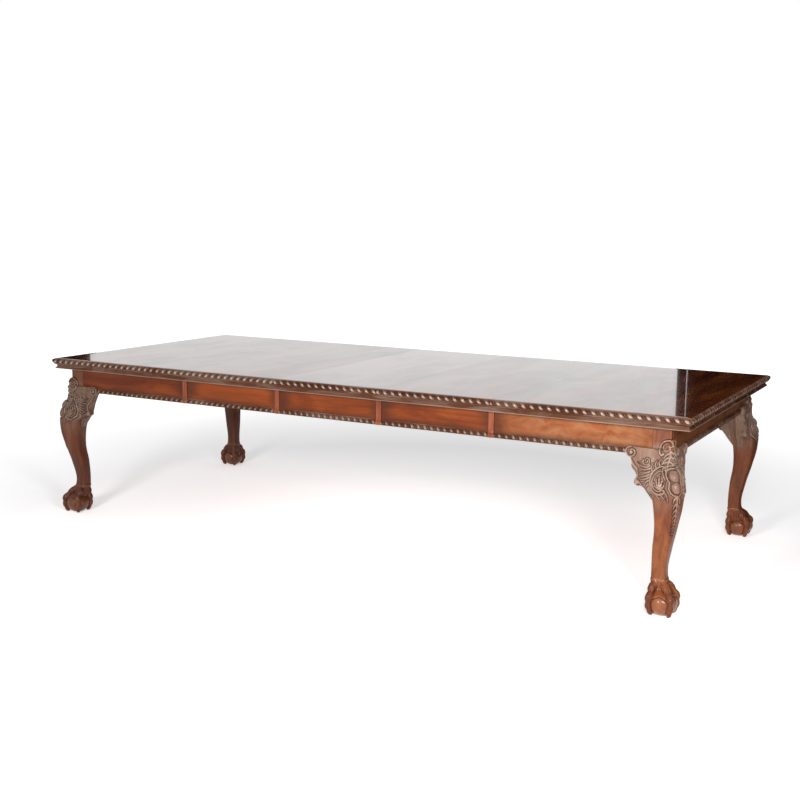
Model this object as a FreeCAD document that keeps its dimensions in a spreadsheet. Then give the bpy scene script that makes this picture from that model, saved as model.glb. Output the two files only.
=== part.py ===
import FreeCAD, Part
import math
import os
import Sketcher
from FreeCAD import Placement, Rotation, Vector

# Extending dining table with three leaves fitted, as it stands on the floor.
# X runs along the table to the right, Y to the back, Z up; the origin is on the floor under the middle.

os.makedirs("parts", exist_ok=True)
doc = FreeCAD.newDocument("extending_dining_table")

# Driving dimensions in millimetres
SIZES = [
    ("table_height", 762, "floor to the polished top"),
    ("table_width", 1376, "over the edge mouldings"),
    ("end_length", 800, "joint to the outer edge of an end"),
    ("leaf_width", 514, "one leaf along the table"),
    ("joint_gap", 0.5, "seam between two sections"),
    ("board_thickness", 25, "top boards"),
    ("edge_height", 49, "edge moulding"),
    ("edge_depth", 36, "edge moulding from its nose inward"),
    ("edge_rim", 14, "nose to the edge of the flat top"),
    ("edge_rim_drop", 2.5, "slope from the flat top to the carved roll"),
    ("edge_lobe_head", 10, "nose to the head of the carved roll"),
    ("edge_lobe_height", 22.5, "carved roll of the edge moulding"),
    ("edge_lobe_bulge", 7.1, "carved roll, out from its chord"),
    ("edge_lobe_foot", 4.5, "nose to the foot of the carved roll"),
    ("edge_quirk", 19, "nose to the back of the hollow below the roll"),
    ("edge_hollow_bulge", 2, "hollow below the roll, in from its chord"),
    ("edge_fillet_height", 7, "flat fillet at the bottom of the moulding"),
    ("edge_fillet_depth", 13, "nose to that fillet"),
    ("side_overhang", 45, "edge of the top to the front of the frieze"),
    ("end_overhang", 88, "edge of the top to the end of the frieze"),
    ("apron_thickness", 24, "frieze boards"),
    ("apron_height", 132, "frieze boards"),
    ("tenon_length", 20, "frieze tenons in the posts"),
    ("tenon_thickness", 10, "frieze tenons in the posts"),
    ("tenon_shoulder", 12, "frieze edge to the tenon"),
    ("tenon_clearance", 0.1, "glue line round a tenon"),
    ("bead_height", 23, "carved bead under the frieze"),
    ("bead_depth", 8, "bead at its lower edge, proud of the frieze"),
    ("bead_bulge", 5.2, "round of the bead, out from its chord"),
    ("bead_fillet", 2, "flat above the bead"),
    ("strip_width", 24, "joint strip"),
    ("strip_depth", 4, "joint strip, proud of the frieze"),
    ("strip_foot_depth", 11, "joint strip over the bead"),
    ("strip_foot_height", 12, "straight foot of the joint strip"),
    ("strip_bulge", 2.5, "hollow above that foot, in from its chord"),
    ("post_size", 70, "square post at the head of a leg"),
    ("post_round", 3, "corner radius of the post"),
    ("leg_round", 0.3, "corner radius as a share of the leg's width"),
    ("brow_step", 0.0496, "frieze down to the brow, share of the leg below the frieze"),
    ("brow_width", 97, "leg width there"),
    ("brow_out", -28.6, "leg centre from the frame corner, outward"),
    ("shoulder_step", 0.0661, "brow down to the swell of the knee, share of that leg"),
    ("shoulder_width", 111, "leg width there"),
    ("shoulder_out", -16.3, "leg centre there"),
    ("knee_step", 0.0909, "down to the widest reach of the knee, share of that leg"),
    ("knee_width", 110, "leg width there"),
    ("knee_out", -5.3, "leg centre there"),
    ("calf_step", 0.1157, "down to the calf, share of that leg"),
    ("calf_width", 96, "leg width there"),
    ("calf_out", -1.4, "leg centre there"),
    ("shin_step", 0.124, "down to the upper shin, share of that leg"),
    ("shin_width", 78, "leg width there"),
    ("shin_out", -6.7, "leg centre there"),
    ("low_shin_step", 0.1405, "down to the lower shin, share of that leg"),
    ("low_shin_width", 67, "leg width there"),
    ("low_shin_out", -20.5, "leg centre there"),
    ("ankle_step", 0.1405, "down to the slimmest place, share of that leg"),
    ("ankle_width", 57, "leg width there"),
    ("ankle_out", -28.5, "leg centre there"),
    ("instep_height", 85, "where the leg meets the ball"),
    ("instep_width", 70, "leg width there"),
    ("instep_out", -18, "leg centre there"),
    ("foot_out", -6, "ball centre from the frame corner, outward"),
    ("ball_radius", 56, "ball of the foot, level"),
    ("ball_half_height", 50, "ball of the foot, upright"),
    ("ball_sink", 4, "cut off the ball where it stands on the floor"),
    ("talon_radius", 11.5, "talon between its knuckles"),
    ("talon_root", 16, "talon root from the axis of the instep"),
    ("talon_root_height", 102, "talon root above the floor"),
    ("talon_reach", 59, "talon at its widest, from the axis of the foot"),
    ("talon_reach_height", 52, "height of that place"),
    ("talon_tip", 56, "claw from the axis of the foot"),
    ("claw_radius", 9, "claw at its tip"),
    ("claw_sink", 1, "cut off the claw where it stands on the floor"),
    ("knuckle_radius", 13.5, "talon knuckles"),
    ("talon_arch", 7, "rise of the bent talon over its ends"),
    ("ear_length", 96, "post to the outer scroll of a knee bracket"),
    ("ear_scroll_radius", 18, "outer scroll of a knee bracket"),
    ("ear_rise", 27, "bracket above the lower edge of the frieze"),
    ("ear_root", 16, "bracket let into the side of the leg, past the post"),
    ("ear_cusp", 70, "post to the cusp below the scroll"),
    ("ear_cusp_drop", 40, "frieze edge down to that cusp"),
    ("ear_waist", 50, "post to the waist of the bracket"),
    ("ear_waist_drop", 78, "frieze edge down to the waist"),
    ("ear_tip", 57, "post to the lower tip of the bracket"),
    ("ear_tip_drop", 105, "frieze edge down to the lower tip"),
    ("ear_throat", 50, "post to the underside of that tip"),
    ("ear_throat_drop", 114, "frieze edge down to the underside of the tip"),
    ("ear_throat_bulge", 19.3, "sweep from the tip into the leg, in from its chord"),
    ("ear_drop", 180, "frieze edge down to the end of the bracket"),
    ("ear_proud", 13, "outer scroll, proud of the frieze"),
    ("ear_knee_proud", 34, "bracket at the leg, proud of the frieze"),
    ("ear_inner_depth", 12, "bracket behind the face of the frieze"),
    ("slide_width", 40, "table slides"),
    ("slide_height", 70, "table slides"),
    ("slide_length", 1358, "table slides"),
    ("slide_gap", 1, "between two slides"),
    ("slide_inset", 199, "side frieze to the outer face of the slides"),
    ("slide_top_clearance", 0.3, "slides below the boards"),
    ("screw_drop", 40, "top of the slides down to the winding screw"),
    ("tongue_height", 14, "slide tongues"),
    ("tongue_depth", 9, "slide tongues"),
    ("tongue_clearance", 0.4, "tongue in its groove"),
    ("rail_width", 40, "cross rails"),
    ("rail_height", 26, "cross rails"),
    ("left_rail_setback", 79, "joint to the left cross rail"),
    ("nut_rail_place", 550, "middle of the table to the nut rail"),
    ("tie_place", 275, "middle of the table to the tie of the middle slides"),
    ("right_rail_setback", 329, "joint to the right cross rail"),
    ("corner_block_leg", 75, "corner block along the frieze past the post"),
    ("corner_block_drop", 85, "height of the corner block"),
    ("crank_hole_radius", 13, "hole in the left end apron"),
    ("ring_radius", 24, "ring round the crank hole"),
    ("ring_thickness", 3, "ring round the crank hole"),
    ("journal_radius", 11, "crank shaft in its bearing"),
    ("running_clearance", 0.05, "radial, turning parts"),
    ("shaft_setback", 2, "shaft end behind the inner face of the apron"),
    ("socket_width", 12, "square socket for the crank"),
    ("socket_depth", 20, "square socket for the crank"),
    ("collar_radius", 16, "thrust collar of the crank shaft"),
    ("collar_width", 7, "thrust collar of the crank shaft"),
    ("collar_play", 0.3, "thrust collar from the bearing"),
    ("bearing_plate", 90, "bearing plate, square"),
    ("bearing_plate_thickness", 8, "bearing plate"),
    ("bearing_boss_radius", 20, "bearing boss"),
    ("bearing_boss_length", 22, "bearing boss"),
    ("drive_width", 14, "square drive bar of the crank shaft"),
    ("drive_reach", 520, "middle of the table to the end of the drive bar"),
    ("drive_clearance", 0.3, "drive bar in the hollow screw"),
    ("hollow_radius", 21, "hollow screw, outside"),
    ("hollow_bore", 15, "hollow screw, inside"),
    ("hollow_half_length", 660, "half of the hollow screw"),
    ("plug_length", 40, "drive plug and nut plug of the hollow screw"),
    ("inner_radius", 13, "inner screw, outside"),
    ("inner_bore", 10.6, "inner screw, inside"),
    ("inner_reach", 520, "middle of the table to the end of the inner screw"),
    ("inner_flange_radius", 36, "flange of the inner screw on the right apron"),
    ("inner_flange_thickness", 8, "flange of the inner screw"),
    ("nut_length", 60, "nut block along the screw"),
    ("nut_width", 74, "nut block across the screw"),
    ("peg_radius", 6, "leaf pegs"),
    ("peg_reach", 20, "peg beyond its edge"),
    ("peg_seat", 20, "peg in its edge"),
    ("peg_inset", 152, "edge of the boards to the outer pegs"),
    ("peg_seat_clearance", 0.05, "peg in its glued seat"),
    ("peg_clearance", 0.3, "peg in the socket of the next edge"),
    ("peg_end_clearance", 3, "end of a peg to the bottom of its socket"),
]
dims = doc.addObject("Spreadsheet::Sheet", "dims")
for row, (alias, value, note) in enumerate(SIZES, start=1):
    dims.set(f"A{row}", alias)
    dims.set(f"B{row}", str(value))
    dims.set(f"C{row}", note)
    dims.setAlias(f"B{row}", alias)
doc.recompute()

# Places that follow from the driving dimensions
joint = "(1.5 * dims.leaf_width)"
half_seam = "(dims.joint_gap / 2)"
nose_x = f"({joint} + dims.end_length)"
nose_y = "(dims.table_width / 2)"
board_x = f"({nose_x} - dims.edge_depth)"
board_y = f"({nose_y} - dims.edge_depth)"
frame_x = f"({nose_x} - dims.end_overhang)"
frame_y = f"({nose_y} - dims.side_overhang)"
inner_x = f"({frame_x} - dims.apron_thickness)"
inner_y = f"({frame_y} - dims.apron_thickness)"
post_x = f"({frame_x} - dims.post_size)"
post_y = f"({frame_y} - dims.post_size)"
top = "dims.table_height"
board_bottom = "(dims.table_height - dims.board_thickness)"
apron_bottom = f"({board_bottom} - dims.apron_height)"
edge_bottom = "(dims.table_height - dims.edge_height)"
slide_top = f"({board_bottom} - dims.slide_top_clearance)"
slide_bottom = f"({slide_top} - dims.slide_height)"
slide_outer = f"({inner_y} - dims.slide_inset)"
screw_z = f"({slide_top} - dims.screw_drop)"
peg_y = f"({board_y} - dims.peg_inset)"
end_start = f"({joint} + {half_seam})"

# How far a cutter runs past the face that it opens
overrun = "1"

# Lower and upper edge of the frieze
frieze = apron_bottom, board_bottom


def size(expression):
    """The value of an expression on the sheet."""
    return float(dims.evalExpression(expression))


def neg(expression):
    return f"(-({expression}))"


def block(name, x, y, z):
    """A box between two places on each axis."""
    box = doc.addObject("Part::Box", name)
    for prop, axis, (low, high) in zip(("Length", "Width", "Height"), "xyz", (x, y, z)):
        box.setExpression(prop, f"({high}) - ({low})")
        box.setExpression(f"Placement.Base.{axis}", low)
    return box


def rod(name, radius, x, y="0", z=screw_z):
    """A round bar along X between two places."""
    bar = doc.addObject("Part::Cylinder", name)
    bar.Placement = Placement(Vector(), Rotation(Vector(0, 1, 0), 90))
    bar.setExpression("Radius", radius)
    bar.setExpression("Height", f"({x[1]}) - ({x[0]})")
    for axis, place in zip("xyz", (x[0], y, z)):
        bar.setExpression(f"Placement.Base.{axis}", place)
    return bar


def cut(name, base, *tools):
    result = doc.addObject("Part::Cut", name)
    result.Base = base
    result.Tool = tools[0] if len(tools) == 1 else group(f"{name}_tools", *tools)
    return result


def fuse(name, *pieces):
    result = doc.addObject("Part::MultiFuse", name)
    result.Shapes = list(pieces)
    return result


def group(name, *pieces):
    result = doc.addObject("Part::Compound", name)
    result.Links = list(pieces)
    return result


def mirror(name, source, normal):
    """The source seen in a mirror through the origin."""
    result = doc.addObject("Part::Mirroring", name)
    result.Source = source
    result.Normal = normal
    result.Base = Vector(0, 0, 0)
    return result


def arc_centre(start, end, radius, side):
    """Centre of an arc between two points; side 1 has the centre on the left of the way."""
    chord = end - start
    left = Vector(-chord.y, chord.x, 0).normalize()
    rise = math.sqrt(max(radius ** 2 - chord.Length ** 2 / 4, 0))
    return (start + end) * 0.5 + left * rise * side


def bow(start, end, bulge):
    """Radius of an arc between two corners that stands off its chord by the bulge."""
    chord = " + ".join(f"(({b}) - ({a}))^2" for a, b in zip(start, end))
    return f"(({chord}) / (8 * {bulge}) + {bulge} / 2)"


def outline(name, corners):
    """A closed sketch through corners (u, v); radius and side after them make the next edge an arc."""
    sketch = doc.addObject("Sketcher::SketchObject", name)
    points = [Vector(size(corner[0]), size(corner[1]), 0) for corner in corners]
    ends = []
    for index, corner in enumerate(corners):
        start = points[index]
        end = points[(index + 1) % len(points)]
        if len(corner) == 2:
            edge = sketch.addGeometry(Part.LineSegment(start, end))
            ends.append((edge, 1, 2))
            continue
        radius, side = corner[2], corner[3]
        centre = arc_centre(start, end, size(radius), side)
        first, last = (start, end) if side > 0 else (end, start)
        angles = [math.atan2(point.y - centre.y, point.x - centre.x) for point in (first, last)]
        circle = Part.Circle(centre, Vector(0, 0, 1), size(radius))
        edge = sketch.addGeometry(Part.ArcOfCircle(circle, angles[0], angles[1]))
        ends.append((edge, 1, 2) if side > 0 else (edge, 2, 1))
        limit = sketch.addConstraint(Sketcher.Constraint("Radius", edge, size(radius)))
        sketch.setExpression(f"Constraints[{limit}]", radius)
    for index, corner in enumerate(corners):
        edge, start, _ = ends[index]
        before, _, finish = ends[index - 1]
        sketch.addConstraint(Sketcher.Constraint("Coincident", before, finish, edge, start))
        for kind, axis, place in (("DistanceX", -2, corner[0]), ("DistanceY", -1, corner[1])):
            if place == "0":
                sketch.addConstraint(Sketcher.Constraint("PointOnObject", edge, start, axis))
                continue
            limit = sketch.addConstraint(Sketcher.Constraint(kind, -1, 1, edge, start, size(place)))
            sketch.setExpression(f"Constraints[{limit}]", place)
    return sketch


def run(name, corners, origin, across, up, along, length):
    """An outline, set at origin with its u and v along two directions, run out along a third."""
    sketch = outline(f"{name}_outline", corners)
    sketch.Placement = Placement(Vector(), Rotation(across, up, across.cross(up)))
    for axis, place in zip("xyz", origin):
        sketch.setExpression(f"Placement.Base.{axis}", place)
    solid = doc.addObject("Part::Extrusion", name)
    solid.Base = sketch
    solid.DirMode = "Custom"
    solid.Dir = along
    solid.Solid = True
    solid.setExpression("LengthFwd", length)
    return solid


RIGHT = Vector(1, 0, 0)
BACK = Vector(0, 1, 0)
UP = Vector(0, 0, 1)

# Edge moulding: u inward from the nose, v up from its lower edge
lobe_head = "(dims.edge_height - dims.edge_rim_drop)"
lobe_foot = f"({lobe_head} - dims.edge_lobe_height)"
lobe_ends = ("dims.edge_lobe_head", lobe_head), ("dims.edge_lobe_foot", lobe_foot)
hollow_ends = ("dims.edge_quirk", lobe_foot), ("dims.edge_fillet_depth", "dims.edge_fillet_height")
edge_profile = [
    ("dims.edge_fillet_depth", "0"),
    ("dims.edge_depth", "0"),
    ("dims.edge_depth", "dims.edge_height"),
    ("dims.edge_rim", "dims.edge_height"),
    lobe_ends[0] + (bow(*lobe_ends, "dims.edge_lobe_bulge"), 1),
    lobe_ends[1],
    hollow_ends[0] + (bow(*hollow_ends, "dims.edge_hollow_bulge"), -1),
    hollow_ends[1],
]

# Carved bead: u outward from the frieze, v up from the lower edge of the frieze
bead_ends = ("dims.bead_depth", "0"), ("dims.bead_fillet", "(dims.bead_height - dims.bead_fillet)")
bead_profile = [
    ("0", "0"),
    bead_ends[0] + (bow(*bead_ends, "dims.bead_bulge"), 1),
    bead_ends[1],
    ("dims.bead_fillet", "dims.bead_height"),
    ("0", "dims.bead_height"),
]

# Joint strip: u outward from the frieze, v up from the lower edge of the frieze
strip_shoulder = "(dims.strip_foot_height + dims.bead_height - dims.bead_fillet)"
strip_ends = ("dims.strip_foot_depth", "dims.strip_foot_height"), ("dims.strip_depth", strip_shoulder)
strip_top = f"({edge_bottom} - {apron_bottom})"
strip_profile = [
    ("0", "0"),
    ("dims.strip_foot_depth", "0"),
    strip_ends[0] + (bow(*strip_ends, "dims.strip_bulge"), -1),
    strip_ends[1],
    ("dims.strip_depth", strip_top),
    ("0", strip_top),
]


def front_and_back(name, front):
    """The front piece and its twin at the back, as one named pair."""
    return group(name, front, mirror(f"{name}_back", front, BACK))


def mitre_block(name, turn):
    """A block on one side of the mitre plane of the front right corner of the top."""
    reach = f"(2 * ({nose_y}))"
    box = doc.addObject("Part::Box", name)
    box.setExpression("Length", f"2 * {reach}")
    box.setExpression("Width", reach)
    box.setExpression("Height", "dims.table_height")
    box.Placement = Placement(Vector(), Rotation(UP, turn))
    lead = math.cos(math.radians(turn)), math.sin(math.radians(turn))
    box.setExpression("Placement.Base.x", f"{nose_x} - {reach} * {lead[0]:.9f}")
    box.setExpression("Placement.Base.y", f"-{nose_y} - {reach} * {lead[1]:.9f}")
    return box


def edge_run(name, start, length):
    return run(name, edge_profile, (start, neg(nose_y), edge_bottom), BACK, UP, RIGHT, length)


def edge_moulding_of_end(name):
    """Front, end and back lengths of the edge moulding on the right end, mitred at the corners."""
    side = edge_run(f"{name}_side", end_start, f"{nose_x} - {end_start}")
    front = cut(f"{name}_front", side, mitre_block(f"{name}_front_mitre", -45))
    back = mirror(f"{name}_back", front, BACK)
    whole = run(f"{name}_whole", edge_profile, (nose_x, neg(nose_y), edge_bottom), -RIGHT, UP, BACK,
                "dims.table_width")
    corner = mitre_block(f"{name}_end_mitre", 135)
    end = cut(f"{name}_end", cut(f"{name}_half", whole, corner), mirror(f"{name}_far_mitre", corner, BACK))
    return group(name, front, end, back)


def peg_row(name, start, end, clearance="0"):
    """Three rods in a row across the middle of a board: pegs, or their holes with a clearance."""
    middle = f"({top} - dims.board_thickness / 2)"
    return [rod(f"{name}_{count}", f"dims.peg_radius + {clearance}", (start, end), place, middle)
            for count, place in enumerate((peg_y, "0", neg(peg_y)), start=1)]


def pegs(name, edge):
    """Three pegs standing out of an edge of the top."""
    return peg_row(name, f"{edge} - dims.peg_seat", f"{edge} + dims.peg_reach")


def peg_seats(name, edge):
    return peg_row(name, f"{edge} - dims.peg_seat", f"{edge} + {overrun}", "dims.peg_seat_clearance")


def peg_sockets(name, edge):
    depth = "(dims.peg_reach + dims.peg_end_clearance)"
    return peg_row(name, f"{edge} - {overrun}", f"{edge} + {depth}", "dims.peg_clearance")


def tenon(name, x, y, clearance):
    """A frieze tenon, or its mortise when it is given a clearance."""
    shoulder = "dims.tenon_shoulder"
    return block(name, x, y, (f"{apron_bottom} + {shoulder} - {clearance}",
                              f"{board_bottom} - {shoulder} + {clearance}"))


def side_tenon(name, clearance="0"):
    centre = f"(-{frame_y} + dims.apron_thickness / 2)"
    half = f"(dims.tenon_thickness / 2 + {clearance})"
    return tenon(name, (post_x, f"{post_x} + dims.tenon_length + {clearance}"),
                 (f"{centre} - {half}", f"{centre} + {half}"), clearance)


def end_tenon(name, clearance="0"):
    centre = f"({frame_x} - dims.apron_thickness / 2)"
    half = f"(dims.tenon_thickness / 2 + {clearance})"
    return tenon(name, (f"{centre} - {half}", f"{centre} + {half}"),
                 (f"-{post_y} - dims.tenon_length - {clearance}", neg(post_y)), clearance)


def leg_section(height, width, out, share):
    """A level rounded square of the leg: its wire, for a width and a centre out from the frame corner."""
    half = width / 2
    radius = share * width
    centre = Vector(size(frame_x) + out, -size(frame_y) - out, height)
    flat = half - radius
    slant = half - radius + radius * math.sqrt(0.5)
    edges = []
    for quarter in range(4):
        turn = Rotation(UP, 90 * quarter)
        start, end, middle, after = (centre + turn.multVec(Vector(*place, 0)) for place in (
            (half, -flat), (half, flat), (slant, slant), (flat, half)))
        edges.append(Part.LineSegment(start, end).toShape())
        edges.append(Part.Arc(end, middle, after).toShape())
    return Part.Wire(edges)


def corner_axis(out):
    """The place on the floor that lies out from the corner of the frame, equally along X and Y."""
    return Vector(size(f"{frame_x} + {out}"), -size(f"{frame_y} + {out}"), 0)


def talon(turn):
    """One talon: a bent round bar over the ball, with two knuckles and a claw that tapers to the floor."""
    way = Rotation(UP, turn).multVec(RIGHT)
    radius = size("dims.talon_radius")
    instep, foot = corner_axis("dims.instep_out"), corner_axis("dims.foot_out")
    root = instep + way * size("dims.talon_root") + UP * size("dims.talon_root_height")
    reach = foot + way * size("dims.talon_reach") + UP * size("dims.talon_reach_height")
    tip = foot + way * size("dims.talon_tip") + UP * size("dims.claw_radius - dims.claw_sink")
    bend = Part.Arc(root, (root + reach) * 0.5 + (way + UP) * size("dims.talon_arch"), reach)
    ring = Part.Wire(Part.Circle(root, bend.tangent(bend.FirstParameter)[0], radius).toShape())
    bar = Part.Wire(bend.toShape()).makePipeShell([ring], True, True)
    toe = Part.makeCone(radius, size("dims.claw_radius"), (tip - reach).Length, reach, tip - reach)
    claw = Part.makeSphere(size("dims.claw_radius"), tip)
    upper = bend.value((bend.FirstParameter + bend.LastParameter) / 2)
    knuckles = [Part.makeSphere(size("dims.knuckle_radius"), place) for place in (upper, reach)]
    return [bar, toe, claw] + knuckles


def leg_shape():
    """Front right leg: post, cabriole leg, ball and talons, cut level on the floor."""
    half_post = size("dims.post_size / 2")
    length = size(apron_bottom)
    wires = [leg_section(length, 2 * half_post, -half_post, size("dims.post_round / dims.post_size"))]
    height = length
    for station in ("brow", "shoulder", "knee", "calf", "shin", "low_shin", "ankle"):
        height -= length * size(f"dims.{station}_step")
        wires.append(leg_section(height, size(f"dims.{station}_width"), size(f"dims.{station}_out"),
                                 size("dims.leg_round")))
    wires.append(leg_section(size("dims.instep_height"), size("dims.instep_width"), size("dims.instep_out"),
                             size("dims.leg_round")))
    curve = Part.makeLoft(wires, True, False)
    post = Part.makeBox(2 * half_post, 2 * half_post, size("dims.apron_height"),
                        Vector(size(post_x), -size(frame_y), length))
    upright = [edge for edge in post.Edges if abs(edge.tangentAt(edge.FirstParameter).z) > 0.5]
    post = post.makeFillet(size("dims.post_round"), upright)
    axis = corner_axis("dims.foot_out")
    stretch = FreeCAD.Matrix()
    stretch.scale(1, 1, size("dims.ball_half_height / dims.ball_radius"))
    ball = Part.makeSphere(size("dims.ball_radius")).transformGeometry(stretch)
    ball.translate(axis + UP * size("dims.ball_half_height - dims.ball_sink"))
    pieces = [post, ball]
    for quarter in range(4):
        pieces += talon(45 + 90 * quarter)
    whole = curve.multiFuse(pieces)
    deep = size("dims.ball_radius") * 4
    floor = Part.makeBox(deep, deep, deep, axis - Vector(deep / 2, deep / 2, deep))
    return whole.cut(floor).removeSplitter()


def leg(name):
    carved = doc.addObject("Part::Feature", f"{name}_carved")
    carved.Shape = leg_shape()
    mortises = (side_tenon(f"{name}_side_mortise", "dims.tenon_clearance"),
                end_tenon(f"{name}_end_mortise", "dims.tenon_clearance"))
    return cut(name, carved, *mortises)


# Knee bracket: u from inside the leg along the frieze, v up from the lower end of the bracket
def ear_point(reach, drop):
    return f"(dims.ear_root + {reach})", f"(dims.ear_drop - {drop})"


scroll_centre = "(dims.ear_length - dims.ear_scroll_radius)"
scroll_drop = "(dims.ear_scroll_radius - dims.ear_rise)"
throat = ear_point("dims.ear_throat", "dims.ear_throat_drop")
ear_profile = [
    ("0", "0"),
    ("0", "(dims.ear_drop + dims.ear_rise)"),
    ear_point(scroll_centre, "(-dims.ear_rise)") + ("dims.ear_scroll_radius", -1),
    ear_point("dims.ear_length", scroll_drop) + ("dims.ear_scroll_radius", -1),
    ear_point(scroll_centre, "(2 * dims.ear_scroll_radius - dims.ear_rise)"),
    ear_point("dims.ear_cusp", "dims.ear_cusp_drop"),
    ear_point("dims.ear_waist", "dims.ear_waist_drop"),
    ear_point("dims.ear_tip", "dims.ear_tip_drop"),
    throat + (bow(throat, ("0", "0"), "dims.ear_throat_bulge"), 1),
]
ear_span = "(dims.ear_root + dims.ear_length)"
ear_taper = [("0", "0"), (ear_span, "0"), (ear_span, "(dims.ear_knee_proud - dims.ear_proud)")]
ear_depth = "(dims.ear_knee_proud + dims.ear_inner_depth)"
ear_bottom = f"({apron_bottom} - dims.ear_drop)"


def side_ear(name, carved):
    """Knee bracket under the front apron of the right end, thinning from the leg to its scroll."""
    root = f"({post_x} + dims.ear_root)"
    face = f"(-{frame_y} - dims.ear_knee_proud)"
    whole = run(f"{name}_whole", ear_profile, (root, face, ear_bottom), -RIGHT, UP, BACK, ear_depth)
    apron = block(f"{name}_apron_room", (f"{root} - {ear_span}", root),
                  (neg(frame_y), f"-{frame_y} + dims.ear_inner_depth"), frieze)
    taper = run(f"{name}_taper", ear_taper, (root, face, "0"), -RIGHT, BACK, UP, top)
    return cut(name, whole, apron, taper, carved)


def end_ear(name, carved):
    """Knee bracket under the end apron, the same shape turned the corner."""
    root = f"(-{post_y} - dims.ear_root)"
    face = f"({frame_x} + dims.ear_knee_proud)"
    whole = run(f"{name}_whole", ear_profile, (face, root, ear_bottom), BACK, UP, -RIGHT, ear_depth)
    apron = block(f"{name}_apron_room", (f"{frame_x} - dims.ear_inner_depth", frame_x),
                  (root, f"{root} + {ear_span}"), frieze)
    taper = run(f"{name}_taper", ear_taper, (face, root, "0"), BACK, -RIGHT, UP, top)
    return cut(name, whole, apron, taper, carved)


def slide_inner(outer):
    return f"({outer} - dims.slide_width)"


def slide_bar(name, start, outer):
    """The plain bar of a front slide."""
    return block(name, (start, f"{start} + dims.slide_length"), (neg(outer), neg(slide_inner(outer))),
                 (slide_bottom, slide_top))


def slide_strip(name, start, face, reach, spare):
    """A square strip along the middle of a slide's face: its tongue, or the room of a groove."""
    middle = f"({slide_top} - dims.slide_height / 2)"
    half = f"(dims.tongue_height / 2 + {spare})"
    return block(name, (start, f"{start} + dims.slide_length"),
                 (f"-{face} - {reach}", f"-{face} + {reach}"), (f"{middle} - {half}", f"{middle} + {half}"))


def tongued_slide(name, start, outer):
    faces = [slide_strip(f"{name}_tongue_{count}", start, face, "dims.tongue_depth", "0")
             for count, face in enumerate((outer, slide_inner(outer)), start=1)]
    return fuse(name, slide_bar(f"{name}_bar", start, outer), *faces)


def grooved_slide(name, start, outer, side):
    """A slide with one groove, in its outer face for side 1 and in its inner face for side -1."""
    face = outer if side > 0 else slide_inner(outer)
    depth = "(dims.tongue_depth - dims.slide_gap + dims.tongue_clearance)"
    groove = slide_strip(f"{name}_groove", start, face, depth, "dims.tongue_clearance")
    return cut(name, slide_bar(f"{name}_bar", start, outer), groove)


def cross_rail(name, place, reach):
    return block(name, (f"{place} - dims.rail_width / 2", f"{place} + dims.rail_width / 2"),
                 (neg(reach), reach), (f"{slide_bottom} - dims.rail_height", slide_bottom))


def corner_block(name):
    """Glued block behind the post of the front right leg."""
    far = "(dims.post_size - dims.apron_thickness)"
    long = f"({far} + dims.corner_block_leg)"
    return run(name, [("0", far), (far, far), (far, "0"), (long, "0"), ("0", long)],
               (inner_x, neg(inner_y), f"{board_bottom} - dims.corner_block_drop"),
               -RIGHT, BACK, UP, "dims.corner_block_drop")


nodes = []


def node(piece, label):
    """Hand a finished piece over under the name of its node."""
    piece.Label = label
    nodes.append((label, piece))
    return piece


# Right end, and the left end as its twin
right_board = block("right_board", (end_start, board_x), (neg(board_y), board_y), (board_bottom, top))
left_board = mirror("left_board", right_board, RIGHT)
left_edge = neg(end_start)
node(cut("right_top", right_board, *peg_sockets("right_socket", end_start)), "right_top_board")
node(cut("left_top", left_board, *peg_seats("left_seat", left_edge)), "left_top_board")
node(group("left_peg_set", *pegs("left_peg", left_edge)), "left_end_pegs")

right_edge = node(edge_moulding_of_end("right_edge"), "right_edge_moulding")
node(mirror("left_edge_twin", right_edge, RIGHT), "left_edge_moulding")

front_leg = node(leg("right_leg"), "leg_front_right")
side_board = block("side_apron_board", (end_start, post_x), (neg(frame_y), neg(inner_y)), frieze)
front_apron = fuse("side_apron", side_board, side_tenon("side_apron_tenon"))
near_tenon = end_tenon("end_apron_tenon")
end_board = block("end_apron_board", (inner_x, frame_x), (neg(post_y), post_y), frieze)
end_apron = fuse("end_apron", end_board, near_tenon, mirror("end_apron_far_tenon", near_tenon, BACK))
ears = group("right_ears", side_ear("right_side_ear", front_leg), end_ear("right_end_ear", front_leg))
blocks = front_and_back("right_blocks", corner_block("right_corner_block"))
node(front_apron, "right_front_apron")
node(end_apron, "right_end_apron")
node(ears, "knee_brackets_front_right")
node(blocks, "right_corner_blocks")
back_apron = node(mirror("back_apron", front_apron, BACK), "right_back_apron")
back_leg = node(mirror("back_leg", front_leg, BACK), "leg_back_right")
back_ears = node(mirror("back_ears", ears, BACK), "knee_brackets_back_right")
for source, label in ((front_leg, "leg_front_left"), (back_leg, "leg_back_left"),
                      (front_apron, "left_front_apron"), (back_apron, "left_back_apron"),
                      (ears, "knee_brackets_front_left"), (back_ears, "knee_brackets_back_left"),
                      (blocks, "left_corner_blocks")):
    node(mirror(f"{label}_twin", source, RIGHT), label)
crank_hole = rod("crank_hole", "dims.crank_hole_radius",
                 (f"-{frame_x} - {overrun}", f"-{inner_x} + {overrun}"))
node(cut("left_end_board", mirror("left_end_twin", end_apron, RIGHT), crank_hole), "left_end_apron")

# Carved beads stop at the knee brackets and at the joint strips
bead_end = f"({post_x} - dims.ear_length)"


def bead_run(name, start, end):
    origin = start, neg(frame_y), apron_bottom
    return run(name, bead_profile, origin, -BACK, UP, RIGHT, f"{end} - ({start})")


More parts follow.
